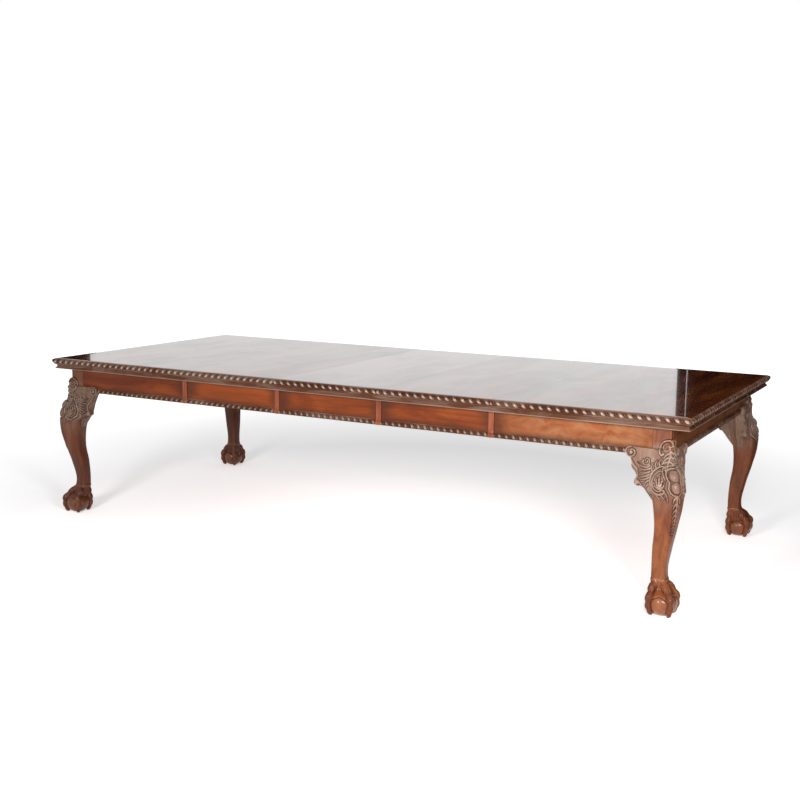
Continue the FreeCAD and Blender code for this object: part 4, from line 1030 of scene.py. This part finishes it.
def set_at_corners(mesh, label, node, material):
    """Sets a piece of the front right corner, and its mirrored twins, at all four corners."""
    for corner, along, across in CORNERS:
        twin = mesh.copy()
        twin.transform(Matrix.Diagonal((along, across, 1, 1)))
        if along * across < 0:
            twin.flip_normals()
        body = "right_end" if along > 0 else "left_end"
        set_piece(twin, f"{label}_{corner}", material, body, [f"{node}_{corner}"],
                  sharp_degrees=60)
    bpy.data.meshes.remove(mesh)


# Lobe and reed of the gadrooning: place in one repeat, share of the depth that is left
LOBES = np.array([(0.0, 0.0), (0.06, 0.55), (0.17, 0.88), (0.33, 1.0), (0.50, 0.88), (0.62, 0.55),
                  (0.69, 0.0), (0.76, 0.42), (0.86, 0.55), (0.95, 0.36)])
# Leaf of the lower bead: a round petal and the dart beside it
PETALS = np.array([(0.0, 0.0), (0.10, 0.75), (0.30, 1.0), (0.52, 0.75), (0.64, 0.0), (0.80, 0.6)])


def round_section(outer, middle, half_out, half_up, turns, depth, rows):
    """Rows of a carved round band, from its foot over its face to its head and back round its hidden side.

    Each row is the place outward and up, the way into the wood, the depth of the grooves and the slant."""
    section = []
    for step in range(rows + 1):
        share = step / rows
        turn = math.radians(turns[0] + (turns[1] - turns[0]) * share)
        place = outer - half_out * (1 - math.cos(turn)), middle + half_up * math.sin(turn)
        ends = math.sin(math.pi * min(max(share, 0.04), 0.96)) ** 0.5
        section.append((*place, -math.cos(turn), -math.sin(turn), depth * ends, share - 0.5))
    back = outer - 1.3 * half_out
    section.append((back, section[-1][1] - 0.2 * half_up, 0, 0, 0, 0.5))
    section.append((back, section[0][1] + 0.2 * half_up, 0, 0, 0, -0.5))
    return np.array(section)


# Shade of a band: in its grooves, painted shade there; added on its lobes; added on a crest, a painted
# highlight
GROOVE_SHADE, LOBE_SHADE, CREST_HIGHLIGHT_SHADE = 0.06, 0.53, 0.4
# Painted highlight on the crest: its place and half width up the band, and how closely it keeps to the crest
CREST_PLACE, CREST_HALF, CREST_POWER = -0.08, 0.2, 5


def carved_band(start, end, pitch, lean, section, repeat):
    """A band of slanting lobes along X between two places, with its ends cut square."""
    repeats = int(math.ceil((end - start + abs(lean)) / pitch)) + 2
    columns = repeats * len(repeat)
    rows = len(section)
    first = (start + end - repeats * pitch) / 2

    def place(along, up):
        whole, part = np.divmod(np.rint(along * columns).astype(int), len(repeat))
        out, level, inward, upward, depth, slant = section[np.rint(up * rows).astype(int) % rows].T
        cut = depth * (1 - repeat[part, 1])
        reach = first + (whole + repeat[part, 0]) * pitch + lean * slant
        # Painted shade in the grooves and on the flanks, painted highlight on each crest
        rubbed = repeat[part, 1] ** CREST_POWER * bell(slant, CREST_PLACE, CREST_HALF)
        shade = GROOVE_SHADE + LOBE_SHADE * repeat[part, 1] + CREST_HIGHLIGHT_SHADE * rubbed
        return np.stack([reach, -(out + inward * cut), level + upward * cut], 1), shade

    made = wrapped_sheet(columns, rows, place)
    cut_off(made, (start, 0, 0), (-1, 0, 0))
    cut_off(made, (end, 0, 0), (1, 0, 0))
    return capped(made)


def straight_run(start, end, outline):
    """A plain moulding along X; its outline is outward and up, all round."""
    made = bmesh.new()
    layer = made.verts.layers.float.new("carve")
    ring = [made.verts.new(Vector((start, -out, up)) * MM) for out, up in outline]
    for vert in ring:
        vert[layer] = PLAIN
    extruded(made, ring, Vector(((end - start) * MM, 0, 0)))
    return made


# Top edge, inward from its nose and up from its foot: bed of the lobes, fillet below them
EDGE_BED = [(36, 0), (36, 49), (13, 49), (10.5, 47.8), (9, 44), (9, 27), (6.5, 25.8), (6.5, 24), (9, 24),
            (9, 21.5)]
EDGE_FILLET = [(16.5, 10), (16.5, 6), (13, 6), (13, 0)]
# Hollow between bed and fillet: where it begins, its radii and its steps
HOLLOW_FROM, HOLLOW_RADII, HOLLOW_STEPS = (11.5, 21.5), (8, 11.5), 5
# Round of the lobes: height of its middle, half depth and half height, its ends in degrees, rows of points
LOBE_MIDDLE, LOBE_HALVES, LOBE_TURNS, LOBE_ROWS = 36.8, (12.5, 11.6), (-80, 80), 8
# Lower bead, out from the frame and up from the frieze's foot: bed; nose of its round, the rest as above
BEAD_BED = [(0, 0), (0, 23), (2, 23), (2, 20.5), (3.4, 19), (4.4, 3), (6, 0)]
BEAD_NOSE, BEAD_MIDDLE, BEAD_HALVES, BEAD_TURNS, BEAD_ROWS = 10.4, 10.2, (8, 10.4), (-76, 78), 5


def top_edge(start, end, lean, sizes):
    """One straight length of the top edge along X, at the front: bed for the lobes, hollow and fillet."""
    outline = list(EDGE_BED)
    for step in range(HOLLOW_STEPS + 1):
        turn = math.radians(90 * step / HOLLOW_STEPS)
        inward = HOLLOW_FROM[0] + HOLLOW_RADII[0] * math.sin(turn)
        outline.append((inward, HOLLOW_FROM[1] - HOLLOW_RADII[1] * (1 - math.cos(turn))))
    outline += EDGE_FILLET
    made = straight_run(start, end, [(NOSE_Y - inward, EDGE_FOOT + up) for inward, up in outline])
    section = round_section(NOSE_Y, EDGE_FOOT + LOBE_MIDDLE, *LOBE_HALVES, LOBE_TURNS,
                            sizes.lobe_depth / MM, LOBE_ROWS)
    taken_in(made, carved_band(start, end, sizes.lobe_pitch / MM, lean, section, LOBES))
    return made


def lower_bead(start, end, lean, sizes):
    """One straight length of the carved bead under the frieze along X, at the front."""
    made = straight_run(start, end, [(FRAME_Y + out, FRIEZE_FOOT + up) for out, up in BEAD_BED])
    section = round_section(FRAME_Y + BEAD_NOSE, FRIEZE_FOOT + BEAD_MIDDLE, *BEAD_HALVES, BEAD_TURNS,
                            sizes.bead_depth / MM, BEAD_ROWS)
    taken_in(made, carved_band(start, end, sizes.bead_pitch / MM, lean, section, PETALS))
    return made


def turned_to_end(made, shift):
    """Turns a length made for the front so that it runs along the right end."""
    bmesh.ops.rotate(made, verts=made.verts, cent=(0, 0, 0), matrix=Matrix.Rotation(math.radians(90), 3, "Z"))
    bmesh.ops.translate(made, verts=made.verts, vec=Vector((shift * MM, 0, 0)))


def edges_of_end(sizes, lean):
    """The edge of the right end board: front length and half of the end length, mitred, with their twins."""
    joint = box_mm("right_top_board")[0][0]
    front = top_edge(joint, NOSE_X + 20, lean, sizes)
    cut_off(front, (NOSE_X, -NOSE_Y, 0), (1, 1, 0))
    side = top_edge(-NOSE_Y - 20, 0, lean, sizes)
    turned_to_end(side, NOSE_X - NOSE_Y)
    cut_off(side, (NOSE_X, -NOSE_Y, 0), (-1, -1, 0))
    taken_in(front, side)
    capped(front)
    mirrored_copy(front, (0, 1, 0))
    return front


def beads_of_end(sizes, lean, strip):
    """The beads of the right end: front length and half of the end length, with their twins."""
    ear_end = box_mm("knee_brackets_front_right")[0][0]
    front = lower_bead(box_mm("right_front_apron")[0][0] + strip, ear_end, lean, sizes)
    side = lower_bead(-FRAME_Y + FRAME_X - ear_end, 0, lean, sizes)
    turned_to_end(side, FRAME_X - FRAME_Y)
    taken_in(front, side)
    mirrored_copy(front, (0, 1, 0))
    return front


# Steps that a thread takes to go round
THREAD_STEPS = 20


def threaded_bar(start, end, crest, root, lead):
    """A round bar with a coarse square thread about the screw's axis, swept round and along."""
    made = bmesh.new()
    turns = int(math.ceil((end - start) / lead)) + 2
    flank = [(0, root), (0.42, root), (0.5, crest), (0.92, crest), (1.0, root)]
    first = start - lead
    places = [(first + share * lead, 0, SCREW_Z + radius) for share, radius in flank]
    ring = [made.verts.new(Vector(place) * MM) for place in places]
    edges = [made.edges.new(pair) for pair in zip(ring, ring[1:])]
    bmesh.ops.spin(made, geom=ring + edges, cent=(0, 0, SCREW_Z * MM), axis=(1, 0, 0),
                   dvec=(lead * MM / THREAD_STEPS, 0, 0), angle=2 * math.pi * turns,
                   steps=THREAD_STEPS * turns)
    bmesh.ops.remove_doubles(made, verts=made.verts, dist=1e-5)
    cut_off(made, (start, 0, 0), (-1, 0, 0))
    cut_off(made, (end, 0, 0), (1, 0, 0))
    return capped(made)


def round_plate(start, thickness, radius, bevel):
    """A turned flange about the screw's axis with eased edges."""
    made = bmesh.new()
    middle = Vector((start + thickness / 2, 0, SCREW_Z)) * MM
    stand = Matrix.Translation(middle) @ Matrix.Rotation(math.radians(90), 4, "Y")
    bmesh.ops.create_cone(made, cap_ends=True, segments=48, radius1=radius * MM, radius2=radius * MM,
                          depth=thickness * MM, matrix=stand)
    rims = [edge for edge in made.edges if len(edge.link_faces) == 2 and edge.calc_face_angle() > 1]
    bmesh.ops.bevel(made, geom=rims, offset=bevel * MM, affect="EDGES", segments=3, profile=0.5, material=-1)
    return made


# Boards of the top, and how much of its polish each has kept
BOARDS = {"left_top_board": 0.74, "leaf_1_board": 0.76, "leaf_2_board": 0.93, "leaf_3_board": 0.9,
          "right_top_board": 0.92}


class TABLE_OT_top(bpy.types.Operator):
    """Polish the boards of the top"""

    bl_idname = "table.top"
    bl_label = "Boards of the top"

    def execute(self, context):
        for board, polish in BOARDS.items():
            dress([board], polished_top(context.scene.table_colours, board, polish))
        eased_edges(BOARDS, 1.4)
        return {"FINISHED"}


class TABLE_OT_frieze(bpy.types.Operator):
    """Veneer the frieze and polish its joint strips"""

    bl_idname = "table.frieze"
    bl_label = "Frieze and joint strips"

    def execute(self, context):
        colours = context.scene.table_colours
        aprons = [f"{end}_{side}_apron" for end in ("left", "right") for side in ("front", "back", "end")]
        leaf_aprons = [f"leaf_{k}_aprons" for k in (1, 2, 3)]
        dress(aprons + leaf_aprons, frieze_veneer(colours))
        strips = ["left_end_joint_strips"] + [f"leaf_{k}_joint_strips" for k in (1, 2, 3)]
        dress(strips, strip_wood(colours))
        eased_edges(aprons + leaf_aprons, 1.2)
        eased_edges(strips, 1.5)
        return {"FINISHED"}


class TABLE_OT_legs(bpy.types.Operator):
    """Carve the four cabriole legs with their claw and ball feet"""

    bl_idname = "table.legs"
    bl_label = "Carved legs"

    def execute(self, context):
        scene = context.scene
        tones = scene.table_colours.carved_mid, scene.table_colours.carved_worn_highlight
        wood = carved_wood(scene.table_colours, "carved_mahogany_leg", "Z", tones, gloss=0.4, warm_shin=True)
        set_at_corners(carved_leg(scene.table_sizes), "carved_leg", "leg", wood)
        return {"FINISHED"}


class TABLE_OT_brackets(bpy.types.Operator):
    """Carve the brackets beside the knees"""

    bl_idname = "table.brackets"
    bl_label = "Knee brackets"

    def execute(self, context):
        scene = context.scene
        tones = scene.table_colours.carved_mid, scene.table_colours.carved_worn_highlight
        wood = carved_wood(scene.table_colours, "carved_mahogany_bracket", "Z", tones, gloss=0.4)
        brackets = carved_bracket(scene.table_sizes)
        set_at_corners(brackets, "carved_brackets", "knee_brackets", wood)
        return {"FINISHED"}


class TABLE_OT_edges(bpy.types.Operator):
    """Carve the gadrooned edges of the boards"""

    bl_idname = "table.edges"
    bl_label = "Gadrooned edges"

    def execute(self, context):
        sizes = context.scene.table_sizes
        colours = context.scene.table_colours
        tones = colours.edge_mid, colours.edge_painted_highlight
        # The edges get a painted highlight along their lower arris
        wood = carved_wood(colours, "carved_mahogany_edge", "X", tones, gloss=1.0, rim=EDGE_FOOT)
        lean = sizes.lobe_lean / MM
        for body in BODIES:
            if body.startswith("leaf"):
                low, high = box_mm(f"{body}_board")
                made = top_edge(low[0], high[0], lean if body == "leaf_1" else -lean, sizes)
                mirrored_copy(made, (0, 1, 0))
                node = f"{body}_edge_mouldings"
            else:
                made = edges_of_end(sizes, -lean)
                node = body.replace("end", "edge_moulding")
                if body == "left_end":
                    mirrored(made, (1, 0, 0))
            mesh = to_mesh(made, f"{body}_gadrooned_edge")
            set_piece(mesh, f"{body}_gadrooned_edge", wood, body, [node],
                      sharp_degrees=50)
            board = body.replace("end", "top_board") if "end" in body else f"{body}_board"
            polish_flat(mesh, bpy.data.materials[f"french_polish_{board}"])
        return {"FINISHED"}


class TABLE_OT_beads(bpy.types.Operator):
    """Carve the bead along the lower edge of the frieze"""

    bl_idname = "table.beads"
    bl_label = "Lower bead"

    def execute(self, context):
        sizes = context.scene.table_sizes
        colours = context.scene.table_colours
        tones = colours.edge_mid, colours.bead_painted_highlight
        wood = carved_wood(colours, "carved_mahogany_bead", "X", tones, gloss=0.9)
        lean = sizes.bead_lean / MM
        low, high = box_mm("leaf_1_joint_strips")
        strip = high[0] - low[0]
        for body in BODIES:
            node = f"{body}_apron_bead" if body.startswith("leaf") else body.replace("end", "apron_bead")
            if body.startswith("leaf"):
                low, high = box_mm(node)
                made = lower_bead(low[0], high[0], lean if body == "leaf_1" else -lean, sizes)
                mirrored_copy(made, (0, 1, 0))
            elif body == "right_end":
                made = beads_of_end(sizes, -lean, 0)
            else:
                made = beads_of_end(sizes, -lean, strip)
                mirrored(made, (1, 0, 0))
            mesh = to_mesh(made, f"{body}_carved_bead")
            set_piece(mesh, f"{body}_carved_bead", wood, body, [node])
        return {"FINISHED"}


class TABLE_OT_slides(bpy.types.Operator):
    """Finish the slides, rails, blocks and pegs inside the frame"""

    bl_idname = "table.slides"
    bl_label = "Slides and rails"

    def execute(self, context):
        nodes = [f"{part}_slide_{side}" for part in ("left", "middle", "right") for side in ("front", "back")]
        nodes += ["left_cross_rail", "screw_nut_rail", "middle_slide_tie", "right_cross_rail"]
        nodes += ["left_corner_blocks", "right_corner_blocks", "left_end_pegs"]
        nodes += [f"leaf_{k}_pegs" for k in (1, 2, 3)]
        dress(nodes, plain_hardwood(context.scene.table_colours))
        eased_edges(nodes, 0.8)
        return {"FINISHED"}


# Depth of the hollow screw's thread, and crest and root of the inner screw's, as radii
HOLLOW_THREAD, INNER_CREST, INNER_ROOT = 2.4, 13, 11
# Flange of the inner screw: thickness, how much of that is clear of the thread, eased edge
FLANGE, FLANGE_CLEAR, FLANGE_EASED = 8, 6, 1.2


class TABLE_OT_screws(bpy.types.Operator):
    """Cut the threads of the winding screws and finish their metal"""

    bl_idname = "table.screws"
    bl_label = "Winding screws"

    def execute(self, context):
        colours = context.scene.table_colours
        lead = context.scene.table_sizes.thread_lead / MM
        steel = metal("turned_steel", colours.steel, rough=0.3, speck_mm=18, stain=0.55, metallic=1.0)
        iron = metal("cast_iron", colours.iron, rough=0.5, speck_mm=6, stain=0.6, metallic=0.6)
        brass = metal("aged_brass", colours.brass, rough=0.28, speck_mm=14, stain=0.6, metallic=1.0)
        low, high = box_mm("hollow_screw")
        crest = (high[2] - low[2]) / 2
        hollow = threaded_bar(low[0], high[0], crest, crest - HOLLOW_THREAD, lead)
        mesh = to_mesh(hollow, "hollow_screw_thread")
        set_piece(mesh, "hollow_screw_thread", steel, "hollow_screw", ["hollow_screw"])
        low, high = box_mm("inner_screw")
        inner = threaded_bar(low[0], high[0] - FLANGE_CLEAR, INNER_CREST, INNER_ROOT, lead)
        taken_in(inner, round_plate(high[0] - FLANGE, FLANGE, (high[2] - low[2]) / 2, FLANGE_EASED))
        mesh = to_mesh(inner, "inner_screw_thread")
        set_piece(mesh, "inner_screw_thread", steel, "right_end", ["inner_screw"])
        dress(["crank_shaft"], steel)
        dress(["screw_nut", "crank_bearing"], iron)
        dress(["crank_hole_ring"], brass)
        return {"FINISHED"}


# Camera of the photograph: place in metres, turn, dip and roll in degrees, lens and frame in millimetres
CAMERA_PLACE, CAMERA_TURN, CAMERA_DIP, CAMERA_ROLL = (2.6029, -4.7778, 1.4809), -28.641, -9.192, 0.684
CAMERA_LENS, CAMERA_FRAME = 51.98, 36


def set_camera(scene):
    """Stands the camera where the photograph was taken from."""
    turn, dip, roll = (math.radians(angle) for angle in (CAMERA_TURN, CAMERA_DIP, CAMERA_ROLL))
    ahead = Vector((math.sin(turn) * math.cos(dip), math.cos(turn) * math.cos(dip), math.sin(dip)))
    right = Vector((math.cos(turn), -math.sin(turn), 0))
    up = right.cross(ahead)
    across = right * math.cos(roll) + up * math.sin(roll)
    upright = up * math.cos(roll) - right * math.sin(roll)
    data = bpy.data.cameras.new("camera")
    data.sensor_width = CAMERA_FRAME
    data.lens = CAMERA_LENS
    data.clip_end = 200
    camera = bpy.data.objects.new("camera", data)
    scene.collection.objects.link(camera)
    axes = Matrix((across, upright, -ahead)).transposed().to_4x4()
    camera.matrix_world = Matrix.Translation(CAMERA_PLACE) @ axes
    scene.camera = camera


def set_lamp(scene, name, place, aim, size, watts):
    """A large soft lamp that looks at a place."""
    data = bpy.data.lights.new(name, "AREA")
    data.shape = "RECTANGLE"
    data.size, data.size_y = size
    data.energy = watts
    lamp = bpy.data.objects.new(name, data)
    scene.collection.objects.link(lamp)
    lamp.location = place
    lamp.visible_camera = False
    lamp.rotation_euler = (Vector(aim) - Vector(place)).to_track_quat("-Z", "Y").to_euler()


def seen_directly(tree):
    """1 for what the camera sees, straight or in a mirror or glass, 0 for the light on other things."""
    path = add(tree, "ShaderNodeLightPath")
    both = add(tree, "ShaderNodeMath", {0: path.outputs["Is Camera Ray"], 1: path.outputs["Is Glossy Ray"]},
               operation="ADD", use_clamp=True)
    return add(tree, "ShaderNodeMath", {0: both.outputs[0], 1: path.outputs["Is Transmission Ray"]},
               operation="ADD", use_clamp=True).outputs[0]


def black_velvet():
    """Black velvet of the studio's flags: what the polished top mirrors at its dark ends."""
    material, tree, shader, _ = new_material("black_velvet")
    set_shader(tree, shader, Base_Color=(0.012, 0.010, 0.010, 1), Roughness=0.9, Specular_IOR_Level=0.0)
    return material


# Light of the room on the object, and the flags that the table mirrors: centre, size, turns in degrees
ROOM_LIGHT = 0.18
FLAGS = (((-16.3, 9.0, 2.1), (11.4, 4.2), (90, 0, 0)), ((-1.042, 9.0, 2.1), (0.115, 4.2), (90, 0, 0)),
         ((4.5, 9.0, 2.1), (10.954, 4.2), (90, 0, 0)), ((2.7, 2.6, 1.0), (6.0, 2.0), (90, 0, 90)),
         ((3.05, 3.5, 0.004), (2.9, 6.0), (0, 0, 0)))
# To the eye the paper answers the lamps this much brighter, and it glows: metres from the middle, level; the
# glow paints light under the middle of the table, where it lifts the shadow
FLOOR_GAIN, FLOOR_REACH = 2.0, 5.0
FLOOR_GLOW = ((0.0, 0.67), (1.1, 0.43), (1.9, 0.36), (5.0, 1.0))


def studio_white(name, tint):
    """Matt white studio paper: white to the eye and to what mirrors it, and it still takes the shadow, though
    its glow paints light into the shadow under the table.
    """
    material = bpy.data.materials.new(name)
    material.use_nodes = True
    tree = material.node_tree
    tree.nodes.clear()
    direct = seen_directly(tree)
    bright = rgba([FLOOR_GAIN * part for part in tint])
    paper = add(tree, "ShaderNodeBsdfDiffuse", {"Color": blended(tree, "MIX", direct, rgba(tint), bright)})
    spot = add(tree, "ShaderNodeTexCoord").outputs["Object"]
    away = add(tree, "ShaderNodeVectorMath", {0: spot}, operation="LENGTH").outputs["Value"]
    far = add(tree, "ShaderNodeMath", {0: away, 1: FLOOR_REACH}, operation="DIVIDE").outputs[0]
    levels = [(place / FLOOR_REACH, grey(level)) for place, level in FLOOR_GLOW]
    fade = add(tree, "ShaderNodeValToRGB", {"Fac": far}, stops=levels).outputs[0]
    share = add(tree, "ShaderNodeMath", {0: direct, 1: fade}, operation="MULTIPLY").outputs[0]
    glow = add(tree, "ShaderNodeEmission", {"Color": (1, 1, 1, 1), "Strength": share})
    both = add(tree, "ShaderNodeAddShader", {0: paper.outputs[0], 1: glow.outputs[0]})
    add(tree, "ShaderNodeOutputMaterial", {"Surface": both.outputs[0]})
    return material


def stage_sheet(scene, name, centre, size, turns, material):
    """A flat sheet of the studio, turned by degrees about X, Y and Z."""
    made = bmesh.new()
    turned = Euler([math.radians(turn) for turn in turns]).to_matrix().to_4x4()
    stand = Matrix.Translation(centre) @ turned @ Matrix.Diagonal((size[0] / 2, size[1] / 2, 1, 1))
    bmesh.ops.create_grid(made, x_segments=1, y_segments=1, size=1, matrix=stand)
    sheet = bpy.data.objects.new(name, to_mesh(made, name))
    sheet.data.materials.append(material)
    scene.collection.objects.link(sheet)
    return sheet


# Lamps: name, place, what they look at, size in metres, watts
LAMPS = (("right_lamp", (2.5, -2.9, 1.5), (0.9, 0, 0.35), (0.9, 0.7), 52),
         ("front_lamp", (0.1, -4.8, 1.9), (0, 0, 0.3), (1.0, 0.8), 78))


class TABLE_OT_stage(bpy.types.Operator):
    """Set the white studio, its lamps and the camera"""

    bl_idname = "table.stage"
    bl_label = "Studio"

    def execute(self, context):
        scene = context.scene
        tint = scene.table_colours.floor
        stage_sheet(scene, "studio_floor", (0, 0, -0.0005), (80, 80), (0, 0, 0),
                    studio_white("floor_paper", tint))
        velvet = black_velvet()
        for number, (centre, size, turns) in enumerate(FLAGS):
            flag = stage_sheet(scene, f"studio_flag_{number}", centre, size, turns, velvet)
            flag.visible_camera = False
            flag.visible_diffuse = False
            flag.visible_shadow = False
        for lamp in LAMPS:
            set_lamp(scene, *lamp)
        world = bpy.data.worlds.new("studio")
        scene.world = world
        world.use_nodes = True
        tree = world.node_tree
        tree.nodes.clear()
        level = add(tree, "ShaderNodeMath", {0: seen_directly(tree), 1: 1 - ROOM_LIGHT, 2: ROOM_LIGHT},
                    operation="MULTIPLY_ADD")
        sky = add(tree, "ShaderNodeBackground", {"Color": (1, 1, 1, 1), "Strength": level.outputs[0]})
        add(tree, "ShaderNodeOutputWorld", {"Surface": sky.outputs[0]})
        scene.view_settings.view_transform = "Standard"
        set_camera(scene)
        return {"FINISHED"}


OPERATORS = (TABLE_OT_stage, TABLE_OT_top, TABLE_OT_frieze, TABLE_OT_legs, TABLE_OT_brackets, TABLE_OT_edges,
             TABLE_OT_beads, TABLE_OT_slides, TABLE_OT_screws)


class VIEW3D_PT_table(bpy.types.Panel):
    """Sizes, colours and steps of the table"""

    bl_label = "Extending dining table"
    bl_space_type = "VIEW_3D"
    bl_region_type = "UI"
    bl_category = "Table"

    def draw(self, context):
        for group in (context.scene.table_sizes, context.scene.table_colours):
            column = self.layout.column()
            for name in group.bl_rna.properties.keys():
                if name not in ("rna_type", "name"):
                    column.prop(group, name)
        for operator in OPERATORS:
            self.layout.operator(operator.bl_idname)


CLASSES = (TableSizes, TableColours, *OPERATORS, VIEW3D_PT_table)


def register():
    """Adds the groups, the operators and the panel."""
    for item in CLASSES:
        bpy.utils.register_class(item)
    bpy.types.Scene.table_sizes = bpy.props.PointerProperty(type=TableSizes)
    bpy.types.Scene.table_colours = bpy.props.PointerProperty(type=TableColours)


def unregister():
    """Takes them out again."""
    del bpy.types.Scene.table_colours
    del bpy.types.Scene.table_sizes
    for item in reversed(CLASSES):
        bpy.utils.unregister_class(item)


def main():
    """Makes the table in its studio."""
    register()
    bpy.ops.table.stage()
    bpy.ops.table.top()
    bpy.ops.table.frieze()
    bpy.ops.table.legs()
    bpy.ops.table.brackets()
    bpy.ops.table.edges()
    bpy.ops.table.beads()
    bpy.ops.table.slides()
    bpy.ops.table.screws()


if __name__ == "__main__":
    main()
